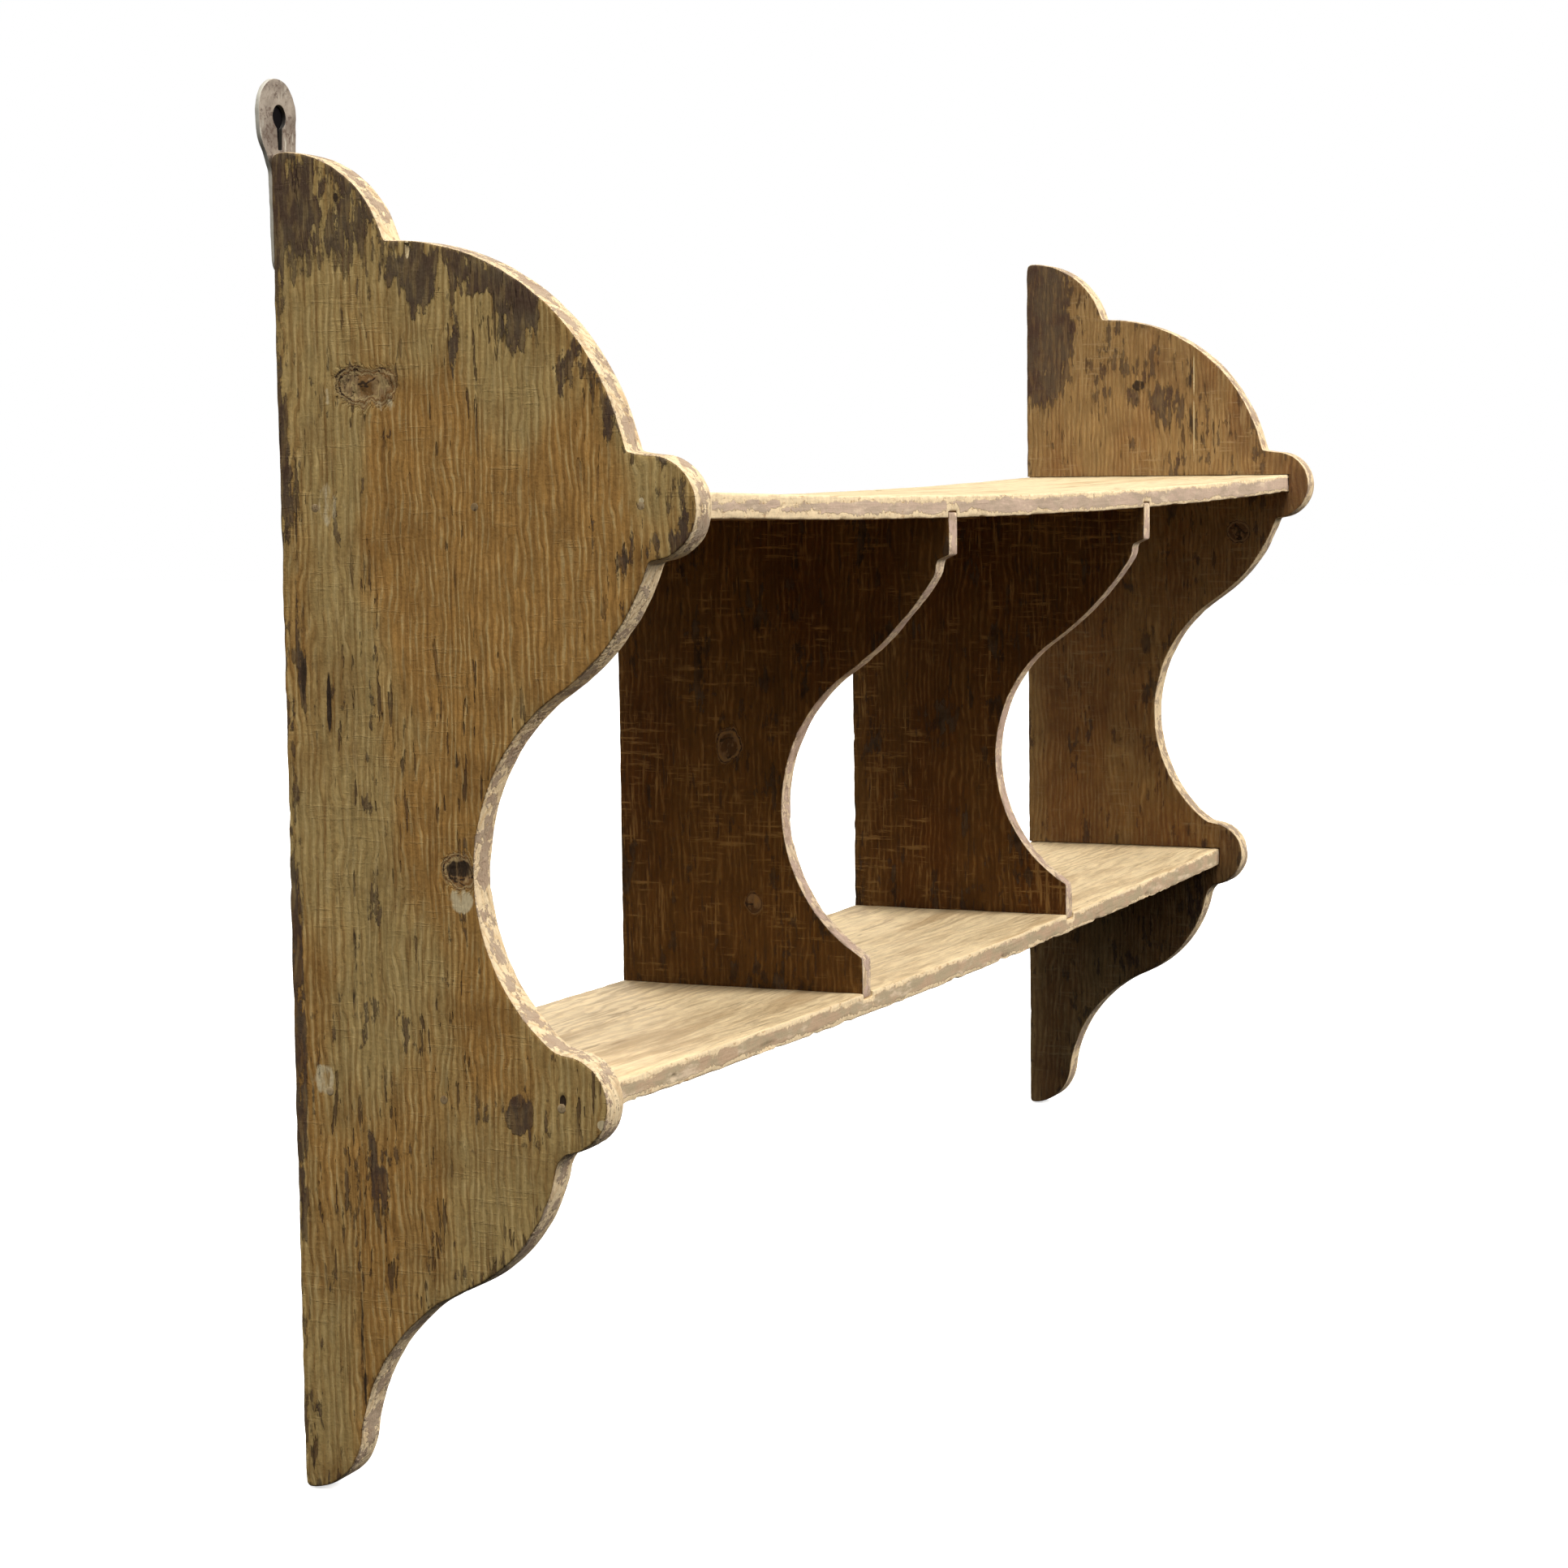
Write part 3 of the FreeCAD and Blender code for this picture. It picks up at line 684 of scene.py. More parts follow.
class Recipe:
    """A material's node tree, written as sums: each method adds a node and returns its output."""

    def __init__(self, name: str) -> None:
        """Starts a material with one shader.

        Args:
            name: The material's name.
        """
        self.material = bpy.data.materials.new(name)
        self.material.use_nodes = True
        self.tree = self.material.node_tree
        self.shader = self.tree.nodes["Principled BSDF"]
        self.shader.inputs["Specular IOR Level"].default_value = 0.22
        self.place = self.tree.nodes.new("ShaderNodeTexCoord").outputs["Object"]
        parts = self.tree.nodes.new("ShaderNodeSeparateXYZ")
        self.tree.links.new(self.place, parts.inputs[0])
        self.x, self.y, self.z = parts.outputs

    def feed(self, socket: Socket, value: object) -> None:
        """Links or sets one input.

        Args:
            socket: The input.
            value: The output to link to it, or the number or colour to set.
        """
        if isinstance(value, bpy.types.NodeSocket):
            self.tree.links.new(value, socket)
        elif isinstance(value, (tuple, list)) and len(value) == 3 and socket.type == "RGBA":
            socket.default_value = (*value, 1.0)
        else:
            socket.default_value = value

    def math(self, operation: str, a: Value, b: Value = 0.0) -> Socket:
        """Works out one sum.

        Args:
            operation: The Math node's own name for the sum.
            a: The first value.
            b: The second value.

        Returns:
            The result.
        """
        node = self.tree.nodes.new("ShaderNodeMath")
        node.operation = operation
        self.feed(node.inputs[0], a)
        self.feed(node.inputs[1], b)
        return node.outputs[0]

    def total(self, *terms: tuple[Value, float]) -> Socket:
        """Sums values, each times its weight.

        Args:
            terms: The values with their weights.

        Returns:
            The sum.
        """
        result: Value = 0.0
        for value, weight in terms:
            node = self.tree.nodes.new("ShaderNodeMath")
            node.operation = "MULTIPLY_ADD"
            for socket, given in zip(node.inputs, (value, weight, result)):
                self.feed(socket, given)
            result = node.outputs[0]
        return result

    def product(self, a: Value, b: Value) -> Socket:
        """Multiplies two values."""
        return self.math("MULTIPLY", a, b)

    def stretch(self, scale: Sequence[float], shift: float = 0.0) -> Socket:
        """The place in the frame, scaled along each axis and shifted.

        Args:
            scale: Waves a metre along X, Y and Z.
            shift: Moves the pattern.

        Returns:
            The scaled vector.
        """
        node = self.tree.nodes.new("ShaderNodeVectorMath")
        node.operation = "MULTIPLY_ADD"
        self.feed(node.inputs[0], self.place)
        node.inputs[1].default_value = scale
        node.inputs[2].default_value = (shift, shift * 1.7, shift * 0.6)
        return node.outputs[0]

    def noise(self, scale: Sequence[float], shift: float = 0.0, detail: float = 3.0, rough: float = 0.5,
              bend: float = 0.0) -> Socket:
        """Adds a noise pattern.

        Args:
            scale: Waves a metre along X, Y and Z.
            shift: Moves the pattern.
            detail: How many finer layers it has.
            rough: How strong the finer layers are.
            bend: How much it is distorted.

        Returns:
            Its value, mostly from 0.25 to 0.75.
        """
        node = self.tree.nodes.new("ShaderNodeTexNoise")
        self.feed(node.inputs["Vector"], self.stretch(scale, shift))
        for label, value in (("Scale", 1.0), ("Detail", detail), ("Roughness", rough), ("Distortion", bend)):
            node.inputs[label].default_value = value
        return node.outputs["Fac"]

    def band(self, value: Value, low: float, high: float, start: float = 0.0, end: float = 1.0) -> Socket:
        """A smooth step from start to end as value goes from low to high.

        Args:
            value: What drives it.
            low: Where it starts.
            high: Where it ends.
            start: Its value at low.
            end: Its value at high.

        Returns:
            The step's value.
        """
        node = self.tree.nodes.new("ShaderNodeMapRange")
        node.interpolation_type = "SMOOTHSTEP"
        for socket, given in zip(node.inputs, (value, low, high, start, end)):
            self.feed(socket, given)
        return node.outputs[0]

    def mix(self, share: Value, a: object, b: object, kind: str = "MIX") -> Socket:
        """Mixes two colours.

        Args:
            share: How much of b shows.
            a: The first colour.
            b: The second colour.
            kind: The Mix node's own name for the way they mix.

        Returns:
            The mixed colour.
        """
        node = self.tree.nodes.new("ShaderNodeMix")
        node.data_type, node.blend_type = "RGBA", kind
        self.feed(node.inputs[0], share)
        self.feed(node.inputs[6], a)
        self.feed(node.inputs[7], b)
        return node.outputs[2]

    def toned(self, colour: Socket, value: Socket) -> Socket:
        """Makes a colour brighter or darker.

        Args:
            colour: The colour.
            value: What its brightness is multiplied by.

        Returns:
            The new colour.
        """
        node = self.tree.nodes.new("ShaderNodeHueSaturation")
        self.feed(node.inputs["Value"], value)
        self.feed(node.inputs["Color"], colour)
        return node.outputs[0]

    def worn(self, name: str) -> Socket:
        """Reads one of the values that a slab's points carry.

        Args:
            name: Its name in WEAR.

        Returns:
            The value.
        """
        node = self.tree.nodes.new("ShaderNodeAttribute")
        node.attribute_name = name
        return node.outputs["Fac"]

    def reach(self, patch: Patch) -> Socket:
        """Distance from a patch's middle on an end board, 1 at its edge.

        Args:
            patch: The patch.

        Returns:
            The distance, in patch sizes.
        """
        node = self.tree.nodes.new("ShaderNodeVectorMath")
        node.operation = "MULTIPLY_ADD"
        self.feed(node.inputs[0], self.place)
        sizes = (1 / patch.half_depth, 1 / patch.half_rise)
        node.inputs[1].default_value = (0.0, *sizes)
        node.inputs[2].default_value = (0.0, patch.depth * sizes[0], -(patch.rise + TIPS_Z) * sizes[1])
        length = self.tree.nodes.new("ShaderNodeVectorMath")
        length.operation = "LENGTH"
        self.tree.links.new(node.outputs[0], length.inputs[0])
        return length.outputs["Value"]

    def zones(self, patches: Sequence[Patch], ragged: Value = 0.5, torn: float = 2.2) -> Socket:
        """Adds up soft-edged patches, each from its weight in the middle to nothing at its edge.

        Args:
            patches: The patches.
            ragged: Noise that makes their edges ragged.
            torn: How ragged they are.

        Returns:
            The sum.
        """
        uneven = self.total((ragged, torn), (-0.5 * torn, 1.0))
        terms = [(self.band(self.math("ADD", self.reach(p), uneven), 1.25, 0.6), p.weight) for p in patches]
        return self.total(*terms, (0.0, 1.0))

    def finish(self, colour: Socket, rough: Value, height: Optional[Socket] = None, depth: float = 0.5 * MM,
               strength: float = 1.0) -> bpy.types.Material:
        """Connects the shader.

        Args:
            colour: The surface's colour.
            rough: Its roughness.
            height: Its fine relief, from 0 to 1.
            depth: How deep that relief goes.
            strength: How strongly the relief shows.

        Returns:
            The finished material.
        """
        self.feed(self.shader.inputs["Base Color"], colour)
        self.feed(self.shader.inputs["Roughness"], rough)
        if height is not None:
            bump = self.tree.nodes.new("ShaderNodeBump")
            bump.inputs["Distance"].default_value = depth
            bump.inputs["Strength"].default_value = strength
            self.feed(bump.inputs["Height"], height)
            self.feed(self.shader.inputs["Normal"], bump.outputs[0])
        return self.material


@dataclass(frozen=True)
class WoodPatterns:
    """The patterns that the layers of one pine finish share.

    Attributes:
        side: How much of a side wall each place is.
        rim: How close it is to an arris.
        front: 1 on the board's near half and 0 on its far half.
        wave: The grain's waver.
        mottle: Blotches drawn out along the grain.
        ground: The broad drift between the two grounds.
        fibre: The finest streaks.
        flake: The outlines of the paint flakes.
        fine: The specks that break them up.
        knots: How near a knot each place is.
        light_line: The pale lines between the growth rings.
        late: The dark lines of the late wood.
        shown: Those lines, fainter where the ground is pale.
    """

    side: Socket
    rim: Socket
    front: Socket
    wave: Socket
    mottle: Socket
    ground: Socket
    fibre: Socket
    flake: Socket
    fine: Socket
    knots: Value
    light_line: Socket
    late: Socket
    shown: Socket


@dataclass(frozen=True)
class Pine:
    """Old pine with rubbed paint remains.

    Attributes:
        name: The finish's name.
        grain: How the grain runs.
        straw: The khaki ground.
        honey: The warm ground.
        late: The dark lines of the late wood.
        light: The pale lines between them.
        paint: The paint that is left.
        bare: The worn arrises and sawn edges.
        film: The rubbed paint on the sawn edges.
        rings: Growth rings a metre across the grain.
        line: How strongly the rings show.
        cover: How much paint is left on the faces, around 0.
        film_cover: How much paint is left on the edges, around 0.
        scratches: How strongly the scratches show.
        seed: Shifts the patterns, so that boards differ.
        painted: Zones with more paint, or less where the weight is negative.
        warm: Zones where the honey ground shows.
        knots: Knots on the near face.
        pale: Small pale spots.
        dark: Small dark spots.
    """

    name: str
    grain: Grain = Grain.UPRIGHT
    straw: Colour = (0.52, 0.365, 0.14)
    honey: Colour = (0.50, 0.27, 0.075)
    late: Colour = (0.24, 0.115, 0.028)
    light: Colour = (0.70, 0.52, 0.235)
    paint: Colour = (0.088, 0.049, 0.036)
    bare: Colour = (0.86, 0.68, 0.43)
    film: Colour = (0.42, 0.318, 0.228)
    rings: float = 262.0
    line: float = 0.62
    cover: float = 0.0
    film_cover: float = 0.0
    scratches: float = 0.12
    seed: float = 0.0
    painted: Sequence[Patch] = ()
    warm: Sequence[Patch] = ()
    knots: Sequence[Patch] = ()
    pale: Sequence[Patch] = ()
    dark: Sequence[Patch] = ()

    def _scale(self, across: float, along: float) -> tuple[float, float, float]:
        """Waves a metre across and along the grain, as X, Y and Z."""
        return (across, across, along) if self.grain is Grain.UPRIGHT else (along, across, across)

    def _patterns(self, r: Recipe) -> WoodPatterns:
        """Makes the patterns that the layers share.

        Args:
            r: The material's recipe.

        Returns:
            The patterns.
        """
        slow = r.noise(self._scale(9, 1.7), self.seed, 2)
        wave = r.noise(self._scale(55, 25), self.seed + 3, 3, 0.55)
        mottle = r.noise(self._scale(110, 60), self.seed + 6, 5, 0.65)
        ground = r.noise(self._scale(15, 4.5), self.seed + 11, 4, 0.55)
        front = r.math("SUBTRACT", 1.0, r.worn("far"))
        uneven = r.total((wave, 0.55), (mottle, 0.6), (-0.075, 1.0))
        knots = r.product(r.zones(self.knots, uneven, 2.0), front) if self.knots else 0.0
        other = r.x if self.grain is Grain.UPRIGHT else r.z
        phase = r.total((r.y, self.rings), (other, 0.45 * self.rings), (slow, 12.0), (wave, 3.1),
                        (knots, 2.6))
        rings = r.math("SINE", r.product(phase, 2 * math.pi))
        broken = r.band(r.noise(self._scale(210, 46), self.seed + 2, 4, 0.65), 0.40, 0.60)
        late = r.product(r.band(rings, -0.2, -0.95), r.band(mottle, 0.36, 0.56, 0.35, 1.0))
        return WoodPatterns(
            side=r.worn("side"), rim=r.worn("rim"), front=front, wave=wave, mottle=mottle, ground=ground,
            fibre=r.noise(self._scale(700, 30), self.seed + 5, 3, 0.6),
            flake=r.noise(self._scale(58, 26), self.seed + 51, 8, 0.68),
            fine=r.noise(self._scale(290, 60), self.seed + 52, 4, 0.6),
            knots=knots, light_line=r.product(r.band(rings, 0.1, 0.95), broken), late=late,
            shown=r.product(late, r.band(ground, 0.35, 0.6, 0.5, 1.0)))

    def _bare_wood(self, r: Recipe, w: WoodPatterns) -> Socket:
        """Colours the waxed wood, with its growth rings.

        Args:
            r: The material's recipe.
            w: The shared patterns.

        Returns:
            The colour.
        """
        hair = r.noise(self._scale(420, 16), self.seed + 13, 4, 0.65)
        warm = r.total((w.ground, 1.0), (r.zones(self.warm), 0.2)) if self.warm else w.ground
        colour = r.mix(r.band(warm, 0.46, 0.64), self.straw, self.honey)
        colour = r.mix(r.product(w.light_line, self.line), colour, self.light)
        colour = r.mix(r.product(w.shown, self.line), colour, self.late)
        colour = r.mix(r.band(hair, 0.53, 0.68, 0.0, self.line), colour, self.late)
        colour = r.toned(colour, r.total((w.fibre, 0.8), (w.mottle, 1.1), (0.10, 1.0)))
        age = r.noise((24, 24, 24), self.seed + 21, 5, 0.6)
        return r.mix(r.band(age, 0.47, 0.72, 0.0, 0.5), colour, self.late)

    def _scratched(self, r: Recipe, colour: Socket) -> tuple[Socket, Socket, Socket]:
        """Lays pale scratches and short dark ticks over the wood.

        Args:
            r: The material's recipe.
            colour: The colour below.

        Returns:
            The new colour, where the scratches are and where the ticks are.
        """
        up = r.noise(self._scale(330, 26), self.seed + 31, 4, 0.7)
        level = r.noise(self._scale(34, 380), self.seed + 32, 4, 0.7)
        scratch = r.math("MAXIMUM", r.band(up, 0.54, 0.66), r.band(level, 0.54, 0.66))
        scratch = r.product(scratch, r.band(r.noise(self._scale(26, 20), self.seed + 33, 4, 0.6), 0.42, 0.58))
        colour = r.mix(r.product(scratch, self.scratches), colour, self.light)
        ticks = r.product(r.band(r.noise(self._scale(300, 40), self.seed + 41, 3, 0.6), 0.62, 0.66),
                          r.band(r.noise(self._scale(22, 8), self.seed + 42), 0.44, 0.58))
        return r.mix(r.product(ticks, 0.8), colour, (0.10, 0.055, 0.028)), scratch, ticks

    def _painted(self, r: Recipe, w: WoodPatterns, colour: Socket) -> tuple[Socket, Socket]:
        """Lays the flakes of old paint over the wood.

        Args:
            r: The material's recipe.
            w: The shared patterns.
            colour: The colour below.

        Returns:
            The new colour and where the paint is.
        """
        zone = r.product(r.zones(self.painted, w.flake), w.front) if self.painted else 0.0
        remains = r.total((w.flake, 0.86), (w.fine, 0.40), (zone, 1.0), (w.rim, 0.03),
                          (self.cover - 0.205, 1.0))
        painted = r.band(remains, 0.55, 0.568)
        tone = r.mix(r.band(r.noise((60, 60, 60), self.seed + 53, 5, 0.6), 0.35, 0.65), self.paint,
                     (0.125, 0.088, 0.056))
        worn_paint = r.mix(r.band(w.fine, 0.46, 0.62, 0.0, 0.3), tone, colour)
        lip = r.product(r.band(remains, 0.525, 0.55), r.band(remains, 0.568, 0.55))
        colour = r.mix(r.product(painted, 0.94), colour, worn_paint)
        return r.mix(r.product(lip, 0.5), colour, (0.05, 0.03, 0.018)), painted

    def _knotted(self, r: Recipe, w: WoodPatterns, colour: Socket) -> Socket:
        """Draws the knots' eyes, rings and splits.

        Args:
            r: The material's recipe.
            w: The shared patterns.
            colour: The colour below.

        Returns:
            The new colour.
        """
        ring = r.math("SINE", r.total((w.knots, 13.0), (w.wave, 16.0), (w.mottle, 11.0)))
        eye = r.band(w.knots, 0.25, 0.6)
        colour = r.mix(r.product(eye, 0.6), colour, (0.36, 0.235, 0.13))
        colour = r.mix(r.product(eye, r.band(ring, 0.1, 0.8, 0.0, 0.75)), colour, self.late)
        colour = r.mix(r.product(eye, r.band(ring, -0.4, -0.9, 0.0, 0.5)), colour, self.light)
        torn = r.math("ABSOLUTE", r.total((r.noise((44, 44, 74), self.seed + 71, 3, 0.55), 1.0), (-0.5, 1.0)))
        split = r.product(r.band(w.knots, 0.2, 0.45), r.band(torn, 0.022, 0.010))
        split = r.product(split, r.band(ring, -0.2, 0.35))
        return r.mix(r.product(split, 0.92), colour, (0.045, 0.026, 0.015))

    def _spotted(self, r: Recipe, w: WoodPatterns, colour: Socket) -> Socket:
        """Puts on the small pale and dark spots.

        Args:
            r: The material's recipe.
            w: The shared patterns.
            colour: The colour below.

        Returns:
            The new colour.
        """
        for patches, tint in ((self.pale, (0.80, 0.66, 0.40)), (self.dark, (0.06, 0.038, 0.022))):
            if patches:
                blot = r.total((r.zones(patches), 1.0), (w.fine, 0.9), (w.flake, 0.6), (-0.75, 1.0))
                colour = r.mix(r.product(r.band(blot, 0.4, 0.62), w.front), colour, tint)
        return colour

    def _edged(self, r: Recipe, w: WoodPatterns, colour: Socket) -> tuple[Socket, Socket, Socket]:
        """Gives the sawn edges their bare wood, rubbed film and dirty border.

        Args:
            r: The material's recipe.
            w: The shared patterns.
            colour: The colour of the faces.

        Returns:
            The new colour, where the film is, and the edges' fine grit.
        """
        patchy = r.noise((85, 85, 85), self.seed + 61, 6, 0.62)
        grit = r.noise((420, 420, 420), self.seed + 62, 3, 0.6)
        film_left = r.total((patchy, 0.75), (grit, 0.25), (w.rim, -0.09), (self.film_cover + 0.034, 1.0))
        filmed = r.band(film_left, 0.49, 0.525)
        film = r.mix(r.band(r.noise((140, 140, 140), self.seed + 63, 5, 0.6), 0.4, 0.66),
                     self.film, (0.36, 0.25, 0.175))
        sawn = r.mix(r.band(grit, 0.3, 0.7), self.bare, tuple(0.84 * c for c in self.bare))
        sawn = r.mix(r.product(w.shown, 0.32), sawn, self.honey)
        sawn = r.mix(r.band(r.noise(self._scale(170, 45), self.seed + 64, 5, 0.65), 0.52, 0.66, 0.0, 0.55),
                     sawn, (0.40, 0.25, 0.13))
        edge = r.mix(r.product(filmed, 0.9), sawn, film)
        over = r.total((w.side, 1.0), (patchy, 0.8), (grit, 0.5), (-0.65, 1.0))
        dirt = r.product(r.band(over, 0.12, 0.3), r.band(over, 0.52, 0.38))
        colour = r.mix(r.product(dirt, 0.55), colour, (0.13, 0.075, 0.04))
        return r.mix(r.band(over, 0.4, 0.55), colour, edge), filmed, grit

    def make(self) -> bpy.types.Material:
        """Makes the material, layer by layer.

        Returns:
            The material, for slabs that carry the attributes of WEAR.
        """
        r = Recipe(self.name)
        w = self._patterns(r)
        colour, scratch, ticks = self._scratched(r, self._bare_wood(r, w))
        colour, painted = self._painted(r, w, colour)
        if self.knots:
            colour = self._knotted(r, w, colour)
        colour, filmed, grit = self._edged(r, w, self._spotted(r, w, colour))
        height = r.total((w.late, 0.35), (w.light_line, 0.2), (w.fibre, 0.4), (painted, 0.3), (ticks, -0.8),
                         (scratch, 0.15), (w.mottle, 0.7), (r.product(filmed, w.side), 0.3), (grit, 0.4))
        rough = r.total((w.fibre, 0.2), (painted, -0.08), (0.6, 1.0))
        return r.finish(colour, rough, height, 0.75 * MM, 1.0)


@dataclass(frozen=True)
class ShelfPine(Pine):
    """Scrubbed shelf pine with a rubbed band of paint along its front edge.

    Attributes:
        top: The scrubbed upper face.
        top_late: The darker grain on it.
        under: The darker underside.
        band: The paint along the front edge.
        worn_band: The same paint where it is thin.
        band_cover: How much of that paint is left, around 0.
    """

    grain: Grain = Grain.LENGTHWAYS
    rings: float = 125.0
    top: Colour = (0.82, 0.68, 0.42)
    top_late: Colour = (0.60, 0.42, 0.22)
    under: Colour = (0.30, 0.16, 0.06)
    band: Colour = (0.55, 0.405, 0.31)
    worn_band: Colour = (0.44, 0.335, 0.25)
    band_cover: float = 0.0

    def _scrubbed(self, r: Recipe) -> tuple[Socket, Socket, Socket, Socket]:
        """The scrubbed upper face and the darker underside.

        Args:
            r: The material's recipe.

        Returns:
            The colour, the growth rings, the finest streaks and the stains.
        """
        geometry = r.tree.nodes.new("ShaderNodeNewGeometry")
        facing = r.tree.nodes.new("ShaderNodeSeparateXYZ")
        r.tree.links.new(geometry.outputs["Normal"], facing.inputs[0])
        # How much a face looks up: upward faces take the top's colour, downward ones the darker underside
        # colour.
        upward = r.band(facing.outputs[2], -0.25, 0.25)
        slow = r.noise(self._scale(8, 1.6), self.seed, 2)
        wave = r.noise(self._scale(42, 12), self.seed + 3, 4, 0.6)
        fibre = r.noise(self._scale(700, 22), self.seed + 5, 3, 0.6)
        phase = r.total((r.y, self.rings), (r.z, 0.4 * self.rings), (slow, 14.0), (wave, 4.5))
        rings = r.band(r.math("SINE", r.product(phase, 2 * math.pi)), -1.0, 1.0)
        shown = r.product(r.math("POWER", rings, 1.8), r.band(r.noise(self._scale(14, 4), self.seed + 2),
                                                              0.35, 0.7, 0.25, 1.0))
        top = r.mix(r.product(shown, self.line), self.top, self.top_late)
        top = r.mix(r.band(r.noise(self._scale(55, 7), self.seed + 7, 6, 0.65), 0.46, 0.70, 0.0, 0.9),
                    top, self.top_late)
        top = r.mix(r.band(fibre, 0.52, 0.70, 0.0, 0.5), top, (0.40, 0.26, 0.13))
        dashes = r.product(r.band(r.noise(self._scale(260, 22), self.seed + 6, 4, 0.6), 0.57, 0.64),
                           r.band(r.noise(self._scale(30, 8), self.seed + 10), 0.44, 0.6))
        top = r.mix(r.product(dashes, 0.6), top, (0.38, 0.24, 0.12))
        stain = r.noise(self._scale(34, 12), self.seed + 8, 6, 0.65)
        top = r.mix(r.band(stain, 0.62, 0.72, 0.0, 0.5), top, (0.42, 0.29, 0.17))
        under = r.mix(r.product(shown, 0.6), self.under, self.late)
        blotches = r.noise(self._scale(120, 40), self.seed + 9, 5, 0.65)
        colour = r.toned(r.mix(upward, under, top), r.total((fibre, 0.3), (blotches, 0.5), (0.60, 1.0)))
        return colour, rings, fibre, stain

    def _banded(self, r: Recipe, colour: Socket) -> tuple[Socket, Socket, Socket]:
        """Gives the front and back edges their rubbed band of paint.

        Args:
            r: The material's recipe.
            colour: The colour of the upper face and underside.

        Returns:
            The new colour, where the paint is, and its fine grit.
        """
        ragged = r.noise((48, 48, 150), self.seed + 61, 6, 0.66)
        fine = r.noise((380, 380, 380), self.seed + 62, 3, 0.6)
        patchy = r.noise((17, 17, 17), self.seed + 64, 3, 0.5)
        film_left = r.total((ragged, 0.6), (fine, 0.14), (patchy, 0.55), (r.worn("rim"), -0.5), (r.x, 0.16),
                            (self.band_cover + 0.10, 1.0))
        filmed = r.band(film_left, 0.42, 0.45)
        band = r.mix(r.band(r.noise((45, 45, 130), self.seed + 63, 5, 0.62), 0.40, 0.62),
                     self.band, self.worn_band)
        band = r.mix(r.band(r.noise((30, 30, 120), self.seed + 65, 6, 0.65), 0.53, 0.66, 0.0, 0.65),
                     band, (0.80, 0.64, 0.46))
        sawn = r.mix(r.band(fine, 0.3, 0.7), self.bare, tuple(0.82 * c for c in self.bare))
        sawn = r.mix(r.band(r.noise((150, 150, 400), self.seed + 66, 4, 0.6), 0.56, 0.66, 0.0, 0.6),
                     sawn, (0.42, 0.22, 0.09))
        front = r.mix(r.product(filmed, 0.92), sawn, band)
        lip = r.product(r.band(film_left, 0.395, 0.42), r.band(film_left, 0.45, 0.42))
        front = r.mix(r.product(lip, 0.45), front, (0.30, 0.18, 0.09))
        over = r.total((r.worn("side"), 1.0), (ragged, 0.5), (fine, 0.3), (-0.40, 1.0))
        return r.mix(r.band(over, 0.5, 0.62), front, colour), filmed, fine

    def make(self) -> bpy.types.Material:
        """Makes the material.

        Returns:
            The material, for slabs whose faces are the shelf's front and back edges.
        """
        r = Recipe(self.name)
        colour, rings, fibre, stain = self._scrubbed(r)
        colour, filmed, fine = self._banded(r, colour)
        height = r.total((rings, 0.22), (fibre, 0.4), (filmed, 0.35), (fine, 0.35), (stain, 0.2))
        rough = r.total((fibre, 0.2), (filmed, -0.06), (0.6, 1.0))
        return r.finish(colour, rough, height, 0.6 * MM, 0.9)


@dataclass(frozen=True)
class Iron:
    """Dull old metal, mottled and spotted, with painted shade on the walls of its holes and a painted
    highlight on its side walls.

    Attributes:
        name: The finish's name.
        ground: Its main colour.
        light: The colour of its paler clouds.
        rubbed: The colour of its worn edges and streaks, also laid on its side walls as a painted highlight.
        dark: The colour of its spots.
        metal: How metallic it is.
        spots: How much of it is spotted, around 0.
        grit: Waves a metre of its mottling.
    """

    name: str
    ground: Colour = (0.22, 0.18, 0.145)
    light: Colour = (0.40, 0.345, 0.285)
    rubbed: Colour = (0.80, 0.78, 0.68)
    dark: Colour = (0.13, 0.09, 0.07)
    metal: float = 0.25
    spots: float = 0.0
    grit: float = 150.0

    def make(self) -> bpy.types.Material:
        """Makes the material.

        Returns:
            The material.
        """
        r = Recipe(self.name)
        side, rim = r.worn("side"), r.worn("rim")
        cloud = r.noise((self.grit * 0.4,) * 3, 2.0, 5, 0.6)
        grain = r.noise((self.grit * 2.4,) * 3, 5.0, 4, 0.65)
        colour = r.mix(r.band(cloud, 0.35, 0.62), self.ground, self.light)
        colour = r.mix(r.band(grain, 0.46, 0.64, 0.0, 0.55), colour, self.ground)
        rust = r.total((cloud, -0.5), (grain, 1.0), (self.spots, 1.0))
        colour = r.mix(r.band(rust, 0.30, 0.40, 0.0, 0.85), colour, self.dark)
        # Partly rubbed bare metal at the arrises and partly a painted highlight: the side walls are lightened
        # with the rubbed colour, whatever light falls on them.
        rubbed_edges_and_highlight = r.total((side, 0.5), (rim, 0.2), (grain, 0.9), (-0.45, 1.0))
        colour = r.mix(r.band(rubbed_edges_and_highlight, 0.3, 0.6, 0.0, 0.8), colour, self.rubbed)
        streaks = r.noise((self.grit * 1.3, self.grit * 1.3, self.grit * 0.35), 8.0, 5, 0.6)
        colour = r.mix(r.band(streaks, 0.57, 0.68, 0.0, 0.5), colour, self.rubbed)
        # Painted shade: the walls of the keyhole and screw holes are darkened almost to black, as the shade
        # inside a hole.
        colour = r.mix(r.band(r.worn("hole"), 0.1, 0.6, 0.0, 0.95), colour, (0.02, 0.015, 0.013))
        r.shader.inputs["Metallic"].default_value = self.metal
        return r.finish(colour, r.total((grain, 0.35), (cloud, 0.15), (0.34, 1.0)),
                        r.total((cloud, 0.8), (grain, 0.5)), 0.4 * MM, 0.8)


